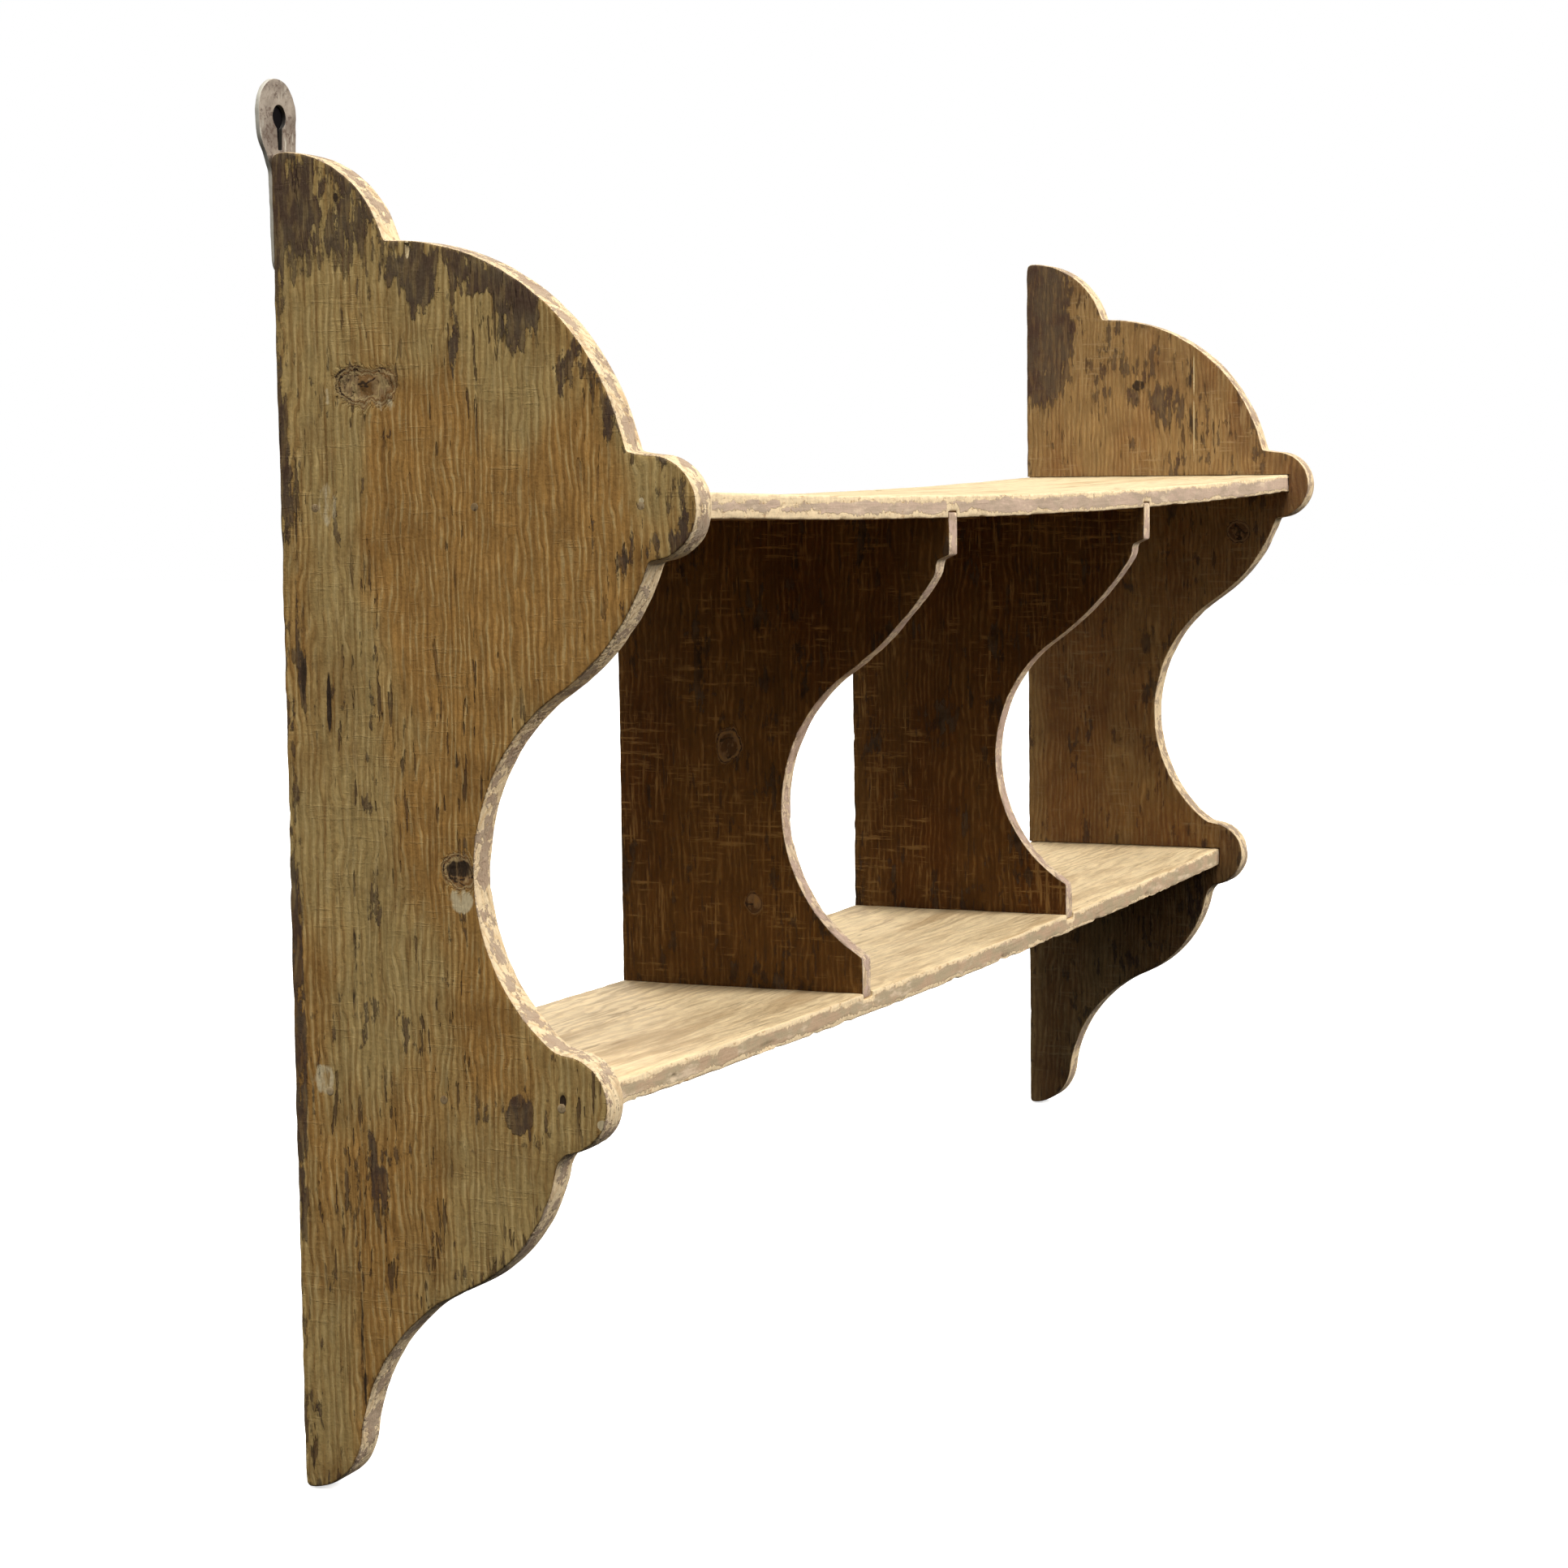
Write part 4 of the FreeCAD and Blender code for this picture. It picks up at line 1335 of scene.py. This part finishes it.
@dataclass
class EndBoard:
    """One scalloped end board, housed for both shelves.

    Attributes:
        node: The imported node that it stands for.
        name: The piece's name.
        finish: Its finish.
        seed: Shifts its wear.
        marks: Blemishes on the face towards the left end.
        clearance: The gap round a shelf in its housing.
    """

    node: str
    name: str
    finish: Pine
    seed: float
    marks: Sequence[Mark] = ()
    clearance: float = 0.3 * MM

    def housings(self, inner: float, outward: float) -> list[Matrix]:
        """Where the two shelves enter the board.

        Args:
            inner: Where the inner face lies along X.
            outward: The sign of the way out of the shelf.

        Returns:
            The place and size of each housing, for a unit cube.
        """
        overshoot, behind = 2 * MM, 5 * MM
        cuts = []
        for shelf in ("upper_shelf", "lower_shelf"):
            low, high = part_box(shelf)
            points = mesh_points(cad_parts[shelf].data)
            ends = points[np.abs(points[:, 0]) > high.x - NEAR]
            span = sorted((inner - outward * overshoot, outward * (high.x + self.clearance)))
            start = Vector((span[0], low.y - self.clearance, ends[:, 2].min() - self.clearance))
            stop = Vector((span[1], high.y + behind, ends[:, 2].max() + self.clearance))
            cuts.append(Matrix.Translation((start + stop) / 2) @ Matrix.Diagonal((*(stop - start), 1)))
        return cuts

    def build(self) -> bpy.types.Object:
        """Builds the board and dresses it.

        Returns:
            The finished piece.
        """
        low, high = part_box(self.node)
        outward = math.copysign(1.0, low.x)
        outer, inner = (low.x, high.x) if outward < 0 else (high.x, low.x)
        outline = flat_outlines(self.node, Axis.X, outer)[:1]
        slab = Slab(self.name, Axis.X, low.x, high.x, outline, spacing=3.6 * MM, step=2.6 * MM,
                    arris=1.4 * MM, grain_scale=(50, 50, 7), seed=self.seed, marks=self.marks,
                    ease=14, wear=4, chip=0.4 * MM)
        piece = slab.build()
        carve(piece, self.housings(inner, outward), "MANIFOLD")
        return settle(piece, self.node, self.finish.make())


@dataclass
class Divider:
    """One of the two shaped dividers between the shelves.

    Attributes:
        node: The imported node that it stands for.
        name: The piece's name.
        finish: Its finish.
        seed: Shifts its wear.
        marks: Blemishes on the face towards the left end.
    """

    node: str
    name: str
    finish: Pine
    seed: float
    marks: Sequence[Mark] = ()

    def build(self) -> bpy.types.Object:
        """Builds the divider and dresses it.

        Returns:
            The finished piece.
        """
        low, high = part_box(self.node)
        outline = flat_outlines(self.node, Axis.X, low.x)[:1]
        slab = Slab(self.name, Axis.X, low.x, high.x, outline, spacing=4 * MM, step=2.4 * MM, arris=1.1 * MM,
                    station=2.6 * MM, relief=0.25 * MM, seed=self.seed, marks=self.marks, ease=10, wear=3,
                    chip=0.5 * MM)
        return settle(slab.build(), self.node, self.finish.make())


@dataclass
class Shelf:
    """One sagging shelf, grooved for the dividers.

    Attributes:
        node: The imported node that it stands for.
        name: The piece's name.
        finish: Its finish.
        seed: Shifts its wear.
        marks: Blemishes on its front edge.
        chip: How deep the chips in its arrises go.
    """

    node: str
    name: str
    finish: ShelfPine
    seed: float
    marks: Sequence[Mark] = ()
    chip: float = 0.6 * MM

    def build(self) -> bpy.types.Object:
        """Builds the shelf and dresses it.

        Returns:
            The finished piece.
        """
        low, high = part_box(self.node)
        outline = flat_outlines(self.node, Axis.Y, low.y)[:1]
        slab = Slab(self.name, Axis.Y, low.y, high.y, outline, spacing=2.4 * MM, step=3.2 * MM,
                    arris=1.7 * MM, station=4.5 * MM, relief=0.45 * MM, grain_scale=(9, 45, 45),
                    seed=self.seed, marks=self.marks, ease=6, wear=1, chip=self.chip)
        return settle(slab.build(), self.node, self.finish.make())


@dataclass
class KeyholePlate:
    """The hanging plate with its keyhole, screwed to the back of the left end board.

    Attributes:
        node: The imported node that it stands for.
        name: The piece's name.
        finish: Its finish.
    """

    node: str
    name: str
    finish: Iron

    def build(self) -> bpy.types.Object:
        """Builds the plate and dresses it.

        Returns:
            The finished piece.
        """
        low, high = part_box(self.node)
        outlines = flat_outlines(self.node, Axis.Y, low.y)
        slab = Slab(self.name, Axis.Y, low.y, high.y, outlines, spacing=1.6 * MM, step=1.1 * MM,
                    station=0.5 * MM, arris=0.45 * MM, relief=0.22 * MM, grain_scale=(110, 110, 110),
                    seed=3.0, ease=8, wear=2, chip=0.2 * MM, sinks=(0.0, 0.0, 1.9 * MM, 1.9 * MM))
        return settle(slab.build(), self.node, self.finish.make(), crease=50.0)


@dataclass
class FastenerRow:
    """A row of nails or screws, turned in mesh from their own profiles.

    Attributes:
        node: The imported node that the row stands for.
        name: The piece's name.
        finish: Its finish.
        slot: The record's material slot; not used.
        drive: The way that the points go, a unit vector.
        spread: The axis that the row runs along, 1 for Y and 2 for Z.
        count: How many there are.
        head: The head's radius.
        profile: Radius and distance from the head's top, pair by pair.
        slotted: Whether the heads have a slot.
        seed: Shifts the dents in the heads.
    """

    node: str
    name: str
    finish: bpy.types.Material
    slot: str
    drive: tuple[float, float, float]
    spread: int
    count: int
    head: float
    profile: Sequence[tuple[float, float]]
    slotted: bool = False
    seed: float = 0.0

    def places(self) -> list[Vector]:
        """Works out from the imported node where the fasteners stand.

        Returns:
            The middle of each head's top.
        """
        low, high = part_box(self.node)
        middle, found = (low + high) / 2, []
        for k in range(self.count):
            place = middle.copy()
            for axis, way in enumerate(self.drive):
                if way:
                    place[axis] = low[axis] if way > 0 else high[axis]
            start, end = low[self.spread] + self.head, high[self.spread] - self.head
            place[self.spread] = start + (end - start) * k / (self.count - 1)
            found.append(place)
        return found

    def _turned(self, work: bmesh.types.BMesh, number: int, place: Vector, turn: Matrix) -> None:
        """Turns one fastener from the profile, a little out of round.

        Args:
            work: The mesh that it is added to.
            number: Which one of the row it is.
            place: The middle of its head's top.
            turn: The turn from +Z to the way that its point goes.
        """
        around = 24
        rings = []
        for radius, down in self.profile:
            ring = []
            for k in range(around):
                angle = 2 * math.pi * k / around
                dent = noise.noise(Vector((math.cos(angle), math.sin(angle), self.seed + 3.1 * number)))
                wide = radius * (1 + 0.05 * min(dent, 0.0) - 0.02)
                point = Vector((wide * math.cos(angle), wide * math.sin(angle), down))
                ring.append(work.verts.new(place + turn @ point))
            rings.append(ring)
        for first, second in zip(rings, rings[1:]):
            for k in range(around):
                work.faces.new((first[k], first[(k + 1) % around], second[(k + 1) % around], second[k]))
        work.faces.new(rings[0][::-1])
        work.faces.new(rings[-1])

    def _slot(self, place: Vector, across: Vector) -> Matrix:
        """The driver's slot in one head, for a unit cube.

        Args:
            place: The middle of the head's top.
            across: The way that the slot runs.

        Returns:
            The slot's place, turn and size.
        """
        drive = Vector(self.drive)
        axes = Matrix((across, drive.cross(across), drive)).transposed().to_4x4()
        wide, deep = 0.9 * MM, 1.0 * MM
        return Matrix.Translation(place) @ axes @ Matrix.Diagonal((self.head * 2.4, wide, 2 * deep, 1.0))

    def build(self) -> bpy.types.Object:
        """Builds the row and dresses it.

        Returns:
            The finished piece.
        """
        work = bmesh.new()
        turn = Vector((0, 0, 1)).rotation_difference(Vector(self.drive)).to_matrix()
        slots = []
        for number, place in enumerate(self.places()):
            self._turned(work, number, place, turn)
            angle = 0.5 + number
            slots.append(self._slot(place, turn @ Vector((math.cos(angle), math.sin(angle), 0))))
        bmesh.ops.recalc_face_normals(work, faces=work.faces)
        mesh = bpy.data.meshes.new(self.name)
        work.to_mesh(mesh)
        work.free()
        piece = placed(self.name, mesh)
        if self.slotted:
            carve(piece, slots, "EXACT")
        return settle(piece, self.node, self.finish, crease=40.0)


def flat_finish(name: str, settings: dict[str, object]) -> bpy.types.Material:
    """Makes a plain material for a stage piece.

    Args:
        name: Its name.
        settings: Values of the shader's inputs, by their names.

    Returns:
        The material.
    """
    material = bpy.data.materials.new(name)
    material.use_nodes = True
    for label, value in settings.items():
        material.node_tree.nodes["Principled BSDF"].inputs[label].default_value = value
    return material


@dataclass
class Studio:
    """Camera, soft light and a plain pale ground.

    Attributes:
        camera_place: Where the camera stands.
        yaw: The way it looks, from +X towards +Y, in radians.
        pitch: How far it looks up.
        roll: How far it leans.
        lens: Its focal length in millimetres, on a film 36 mm wide.
        sky: How bright the light from overhead is.
        glow: How bright the light from the sides is.
        front: The power of the soft light in front.
        side: The power of the soft light high on the left.
        back: The power of the soft light behind the right end.
    """

    camera_place: tuple[float, float, float] = (-1.89398, -0.86876, 0.02431)
    yaw: float = 0.419676
    pitch: float = -0.095938
    roll: float = -0.012141
    lens: float = 75.83
    sky: float = 1.15
    glow: float = 0.03
    front: float = 262.0
    side: float = 140.0
    back: float = 110.0

    def set_camera(self) -> None:
        """Makes the camera and gives it to the scene."""
        cos_pitch = math.cos(self.pitch)
        ahead = Vector((math.cos(self.yaw) * cos_pitch, math.sin(self.yaw) * cos_pitch, math.sin(self.pitch)))
        right = ahead.cross(Vector((0, 0, 1))).normalized()
        up = right.cross(ahead)
        turned_right = right * math.cos(self.roll) + up * math.sin(self.roll)
        turned_up = up * math.cos(self.roll) - right * math.sin(self.roll)
        data = bpy.data.cameras.new("camera")
        data.lens, data.sensor_width, data.clip_start, data.clip_end = self.lens, 36.0, 0.01, 100.0
        camera = placed("camera", data)
        camera.matrix_world = Matrix.Translation(self.camera_place) @ Matrix(
            (turned_right, turned_up, -ahead)).transposed().to_4x4()
        bpy.context.scene.camera = camera

    def set_sky(self) -> None:
        """Makes a soft sky, brightest overhead and dark below."""
        world = bpy.data.worlds.new("soft_sky")
        world.use_nodes = True
        bpy.context.scene.world = world
        nodes, links = world.node_tree.nodes, world.node_tree.links
        parts = nodes.new("ShaderNodeSeparateXYZ")
        links.new(nodes.new("ShaderNodeTexCoord").outputs["Generated"], parts.inputs[0])
        above = nodes.new("ShaderNodeClamp")
        links.new(parts.outputs[2], above.inputs[0])
        steep = nodes.new("ShaderNodeMath")
        steep.operation, steep.inputs[1].default_value = "POWER", 2.0
        links.new(above.outputs[0], steep.inputs[0])
        strength = nodes.new("ShaderNodeMath")
        strength.operation = "MULTIPLY_ADD"
        strength.inputs[1].default_value, strength.inputs[2].default_value = self.sky, self.glow
        links.new(steep.outputs[0], strength.inputs[0])
        links.new(strength.outputs[0], nodes["Background"].inputs["Strength"])
        nodes["Background"].inputs["Color"].default_value = (1.0, 0.985, 0.96, 1.0)

    def hang_light(self, name: str, place: Sequence[float], size: float, power: float) -> None:
        """Hangs one soft square light that looks at the middle of the shelf.

        Args:
            name: Its name.
            place: Where it hangs.
            size: The length of its sides.
            power: Its power in watts.
        """
        data = bpy.data.lights.new(name, "AREA")
        data.shape, data.size, data.energy, data.color = "SQUARE", size, power, (1.0, 0.965, 0.92)
        light = placed(name, data)
        light.location = place
        light.rotation_euler = (Vector((0.0, 0.0, -0.1)) - light.location).to_track_quat("-Z", "Y").to_euler()
        light.visible_camera = False

    def _staged(self, name: str, mesh: bpy.types.Mesh, material: bpy.types.Material) -> None:
        """Adds a stage piece that throws no light back at the object.

        Args:
            name: Its name.
            mesh: Its mesh.
            material: Its material.
        """
        mesh.materials.append(material)
        piece = placed(name, mesh)
        piece.visible_diffuse = piece.visible_glossy = piece.visible_transmission = False
        piece.visible_shadow = False

    def set_ground(self) -> None:
        """Lays the pale floor and hangs a plain white backdrop all round."""
        pale = flat_finish("pale_floor", {
            "Base Color": (0.97, 0.97, 0.97, 1.0), "Roughness": 0.9,
            "Emission Color": (1.0, 1.0, 1.0, 1.0), "Emission Strength": 0.6})
        floor = bpy.data.meshes.new("floor")
        reach, level = 11.0, TIPS_Z - 0.5 * MM
        floor.from_pydata([(x, y, level) for x, y in ((-reach, -reach), (reach, -reach), (reach, reach),
                                                      (-reach, reach))], [], [(0, 1, 2, 3)])
        self._staged("floor", floor, pale)
        white = bpy.data.materials.new("white_backdrop")
        white.use_nodes = True
        nodes, links = white.node_tree.nodes, white.node_tree.links
        glow = nodes.new("ShaderNodeEmission")
        glow.inputs["Color"].default_value = (1.0, 1.0, 1.0, 1.0)
        links.new(glow.outputs[0], nodes["Material Output"].inputs["Surface"])
        work = bmesh.new()
        bmesh.ops.create_uvsphere(work, u_segments=48, v_segments=24, radius=14.0)
        dome = bpy.data.meshes.new("backdrop")
        work.to_mesh(dome)
        work.free()
        self._staged("backdrop", dome, white)

    def shade_keyhole(self, node: str) -> None:
        """Stands for the shaded wall that fills the view through the keyhole.

        Args:
            node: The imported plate.
        """
        low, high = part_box(node)
        ring = flat_outlines(node, Axis.Y, low.y)[1]
        overlap, inset = 0.5 * MM, 0.3 * MM
        ring = inward_steps(ring, np.full(len(ring), overlap))
        level = high.y - inset
        mesh = bpy.data.meshes.new("keyhole_shade")
        mesh.from_pydata([(x, level, z) for x, z in ring], [], [tuple(range(len(ring)))])
        self._staged("keyhole_shade", mesh, flat_finish("wall_in_shade", {
            "Base Color": (0.004, 0.003, 0.004, 1.0), "Roughness": 0.95, "Specular IOR Level": 0.1}))

    def build(self) -> None:
        """Sets the whole studio up, with colours shown as they are."""
        self.set_camera()
        self.set_sky()
        self.hang_light("front_light", (1.2, -4.2, 2.3), 2.2, self.front)
        self.hang_light("side_light", (-3.3, -0.5, 4.2), 2.0, self.side)
        self.hang_light("back_light", (3.2, 3.4, 0.9), 2.0, self.back)
        self.set_ground()
        self.shade_keyhole("hanging_plate")
        bpy.context.scene.view_settings.view_transform = "Standard"


def face_mark(kind: Blemish, depth: float, rise: float, half_depth: float, half_rise: float,
              dip: float) -> Mark:
    """A blemish on an upright board, placed in millimetres by depth from the wall and rise above the tips.

    Args:
        kind: What sort of mark it is.
        depth: How far it is in front of the wall.
        rise: How far it is above the tips.
        half_depth: Half its extent from the wall.
        half_rise: Half its extent upwards.
        dip: How deep it goes.

    Returns:
        The mark, in the frame.
    """
    return Mark(kind, -depth * MM, rise * MM + TIPS_Z, half_depth * MM, half_rise * MM, dip * MM)


def spots(*rows: tuple[float, float, float, float, float]) -> tuple[Patch, ...]:
    """Patches from rows of depth, rise, half depth and half rise in millimetres, and weight."""
    return tuple(Patch(*(v * MM for v in row[:4]), row[4]) for row in rows)


def left_board() -> EndBoard:
    """Describes the left end board, whose outer face shows most of the old paint.

    Returns:
        The board.
    """
    finish = Pine(
        "old_pine_left",
        seed=2.0,
        painted=spots((25, 650, 88, 62, 0.168), (1, 330, 8, 360, 0.07), (131.6, 572, 14, 26, 0.22),
                      (100, 590, 44, 13, 0.15), (160, 543, 20, 20, 0.12), (180, 510, 8, 34, 0.12),
                      (7, 520, 9, 60, 0.05), (79.7, 580, 8, 28, 0.16),
                      (124.5, 194.6, 8, 10, 0.3), (47.5, 150, 7, 20, 0.15), (10.5, 418, 3.5, 40, 0.13),
                      (217, 478, 11, 26, 0.125), (98, 556, 4, 22, 0.22), (26, 205, 5, 90, 0.07),
                      (34, 100, 4, 70, 0.05),
                      (3, 220, 5, 90, 0.10), (42, 170, 5, 22, 0.08), (205, 460, 14, 12, 0.10),
                      (115, 450, 90, 130, -0.10)),
        warm=spots((85, 470, 45, 75, 1.0), (160, 450, 40, 70, 1.0), (85, 360, 40, 80, 0.6)),
        knots=spots((48.2, 539.7, 19, 10, 1.3), (95.2, 309, 9, 8, 1.1)),
        pale=spots((194.1, 484.4, 1.5, 1.5, 0.8), (17.2, 205.2, 7, 9, 0.55), (26.4, 484, 6, 13, 0.45),
                   (95, 296, 9, 7, 0.55), (168.4, 193, 3, 3, 0.7), (73.7, 603, 1.2, 5, 1.0),
                   (30, 535, 8, 5, 0.4), (60, 530, 7, 4, 0.4)),
        dark=spots((147.6, 202.8, 2, 4, 0.8), (95.2, 311, 10, 5, 0.6), (35.6, 628, 1.6, 2.5, 0.8),
                   (83, 388, 8, 7, 0.4), (94, 363.6, 3, 6, 0.5), (25, 389, 1.6, 17, 0.7),
                   (10.8, 418, 3, 34, 0.5), (35.6, 256, 2, 30, 0.5), (36, 572, 2.5, 10, 0.5),
                   (35, 60, 2, 55, 0.5), (48, 612, 4, 7, 0.4)),
    )
    marks = (
        face_mark(Blemish.KNOT, 48.2, 539.7, 16, 8, 0.6),
        face_mark(Blemish.DENT, 95.2, 308, 8, 7, 0.6),
        face_mark(Blemish.DENT, 147.6, 202.8, 2.6, 4.5, 0.9),
        face_mark(Blemish.CRACK, 34, 60, 0.8, 55, 0.9),
        face_mark(Blemish.CRACK, 25, 389, 0.7, 22, 0.8),
        face_mark(Blemish.CRACK, 50, 262, 0.6, 34, 0.7),
        face_mark(Blemish.DENT, 73.7, 603, 1.3, 5, 1.6),
    )
    return EndBoard("left_end_board", "left_scalloped_board", finish, 2.0, marks)


def right_board() -> EndBoard:
    """Describes the right end board, whose inner face has a long pale crack.

    Returns:
        The board.
    """
    finish = Pine(
        "old_pine_right",
        straw=(0.36, 0.225, 0.09),
        honey=(0.30, 0.155, 0.055),
        late=(0.15, 0.07, 0.03),
        light=(0.50, 0.345, 0.165),
        line=0.4,
        scratches=0.6,
        seed=5.0,
        cover=0.012,
        painted=spots((12, 600, 26, 62, 0.24), (85, 556, 50, 24, 0.06), (112, 540, 16, 20, 0.08),
                      (60, 590, 45, 34, 0.05), (150, 500, 60, 60, 0.03), (60, 120, 60, 110, 0.05),
                      (90, 330, 70, 60, 0.04)),
        knots=spots((167.9, 446.2, 10, 9, 1.0)),
        pale=spots((133.4, 539, 0.8, 50, 0.6)),
        dark=spots((89.7, 556.9, 6, 5, 0.6), (90, 544, 4, 6, 0.4), (167.9, 446.2, 6, 5, 0.4),
                   (131, 539, 1.4, 50, 0.5), (20, 512, 5, 4, 0.4), (60, 530, 3, 6, 0.35),
                   (56, 566, 3, 8, 0.4)),
    )
    marks = (
        face_mark(Blemish.CRACK, 133, 539, 0.8, 48, 1.0),
        face_mark(Blemish.KNOT, 89.7, 556.9, 6, 7, 0.4),
        face_mark(Blemish.KNOT, 167.9, 446.2, 7, 6, 0.4),
    )
    return EndBoard("right_end_board", "right_scalloped_board", finish, 6.0, marks)


def dividers() -> list[Divider]:
    """Describes the two dividers, coloured much darker than the end boards as painted shade from the upper
    shelf above them.

    Returns:
        The dividers, left and right.
    """
    # Painted shade: the faces' wood and paint colours are about half as bright as the right end board's, for
    # the shade under the upper shelf; the sawn edges keep their bright colours.
    right = Pine(
        "divider_pine_painted_shade_right",
        straw=(0.165, 0.078, 0.018),
        honey=(0.14, 0.054, 0.010),
        late=(0.08, 0.032, 0.007),
        light=(0.44, 0.25, 0.085),
        paint=(0.045, 0.024, 0.011),
        bare=(0.84, 0.66, 0.45),
        film=(0.56, 0.40, 0.32),
        line=0.3,
        cover=0.03,
        film_cover=0.035,
        scratches=0.85,
        seed=11.0,
    )
    knots = spots((70, 340, 8, 10, 1.0), (85, 250, 6, 7, 0.7))
    left = replace(right, name="divider_pine_painted_shade_left", seed=8.0, knots=knots)
    knot = face_mark(Blemish.KNOT, 70, 340, 7, 9, 0.3)
    return [Divider("left_divider", "left_shaped_divider", left, left.seed, (knot,)),
            Divider("right_divider", "right_shaped_divider", right, right.seed)]


def shelves() -> list[Shelf]:
    """Describes the two shelves.

    Returns:
        The shelves, upper and lower.
    """
    lower_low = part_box("lower_shelf")[0].z
    lower_marks = (
        Mark(Blemish.DENT, -0.43, lower_low + 9 * MM, 4 * MM, 2.2 * MM, 1.2 * MM),
        Mark(Blemish.DENT, -0.315, lower_low + 5.5 * MM, 14 * MM, 2.6 * MM, 1.3 * MM),
        Mark(Blemish.DENT, 0.05, lower_low + 2 * MM, 10 * MM, 2.5 * MM, 0.9 * MM),
        Mark(Blemish.DENT, 0.34, lower_low + 5 * MM, 8 * MM, 2.5 * MM, 0.9 * MM),
    )
    upper = ShelfPine("shelf_pine_upper", seed=14.0, line=0.5, band_cover=0.03)
    lower = ShelfPine("shelf_pine_lower", seed=17.0, top=(0.99, 0.79, 0.48), band=(0.42, 0.335, 0.215),
                      worn_band=(0.50, 0.345, 0.225), line=0.62, band_cover=0.075)
    return [Shelf("upper_shelf", "upper_shelf_board", upper, upper.seed),
            Shelf("lower_shelf", "lower_shelf_board", lower, lower.seed, lower_marks, 1.0 * MM)]


def fasteners() -> list[FastenerRow]:
    """Describes the nail rows and the plate's two screws.

    Returns:
        The rows.
    """
    nail = Iron("punched_nails", ground=(0.30, 0.19, 0.085), light=(0.55, 0.42, 0.24),
                dark=(0.09, 0.055, 0.03), rubbed=(0.55, 0.42, 0.26), metal=0.05, grit=190.0).make()
    screw = Iron("plate_screws_steel", ground=(0.25, 0.22, 0.19), light=(0.5, 0.46, 0.4),
                 rubbed=(0.6, 0.56, 0.5), metal=0.6, grit=260.0).make()
    nail_shape = tuple((a * MM, b * MM) for a, b in (
        (0.7, 0.0), (1.6, 0.06), (2.2, 0.2), (2.4, 0.45), (2.3, 0.8), (1.2, 1.0), (1.08, 6.0), (1.05, 32.0),
        (0.5, 36.5), (0.15, 37.9)))
    threads = [(1.7 if k % 2 else 1.25, 7.0 + 0.8 * k) for k in range(14)]
    screw_shape = tuple((a * MM, b * MM) for a, b in (
        (2.2, 0.0), (3.2, 0.12), (3.35, 0.4), (3.1, 0.8), (1.75, 2.2), (1.7, 6.4), *threads, (0.7, 20.0),
        (0.15, 21.8)))
    rows = []
    for number, (label, drive) in enumerate((
            ("left_upper_end", (1, 0, 0)), ("left_lower_end", (1, 0, 0)),
            ("right_upper_end", (-1, 0, 0)), ("right_lower_end", (-1, 0, 0)),
            ("left_divider_top", (0, 0, -1)), ("right_divider_top", (0, 0, -1)),
            ("left_divider_foot", (0, 0, 1)), ("right_divider_foot", (0, 0, 1)))):
        rows.append(FastenerRow(f"{label}_nails", f"{label}_nail_row", nail, "nail_steel", drive, 1, 3,
                                2.4 * MM, nail_shape, seed=20.0 + number))
    rows.append(FastenerRow("plate_screws", "plate_screw_pair", screw, "screw_steel", (0, -1, 0), 2, 2,
                            3.4 * MM, screw_shape, slotted=True, seed=40.0))
    return rows


def main() -> None:
    """Builds the shelf piece by piece, then the studio."""
    Studio().build()
    plate = KeyholePlate("hanging_plate", "keyhole_hanging_plate", Iron("plate_metal"))
    sub_assemblies = [left_board(), right_board(), *shelves(), *dividers(), plate, *fasteners()]
    for sub_assembly in sub_assemblies:
        piece = sub_assembly.build()
        LOG.info("built %s from %s", piece.name, type(sub_assembly).__name__)


if __name__ == "__main__":
    logging.basicConfig(level=logging.INFO, format="%(message)s")
    main()
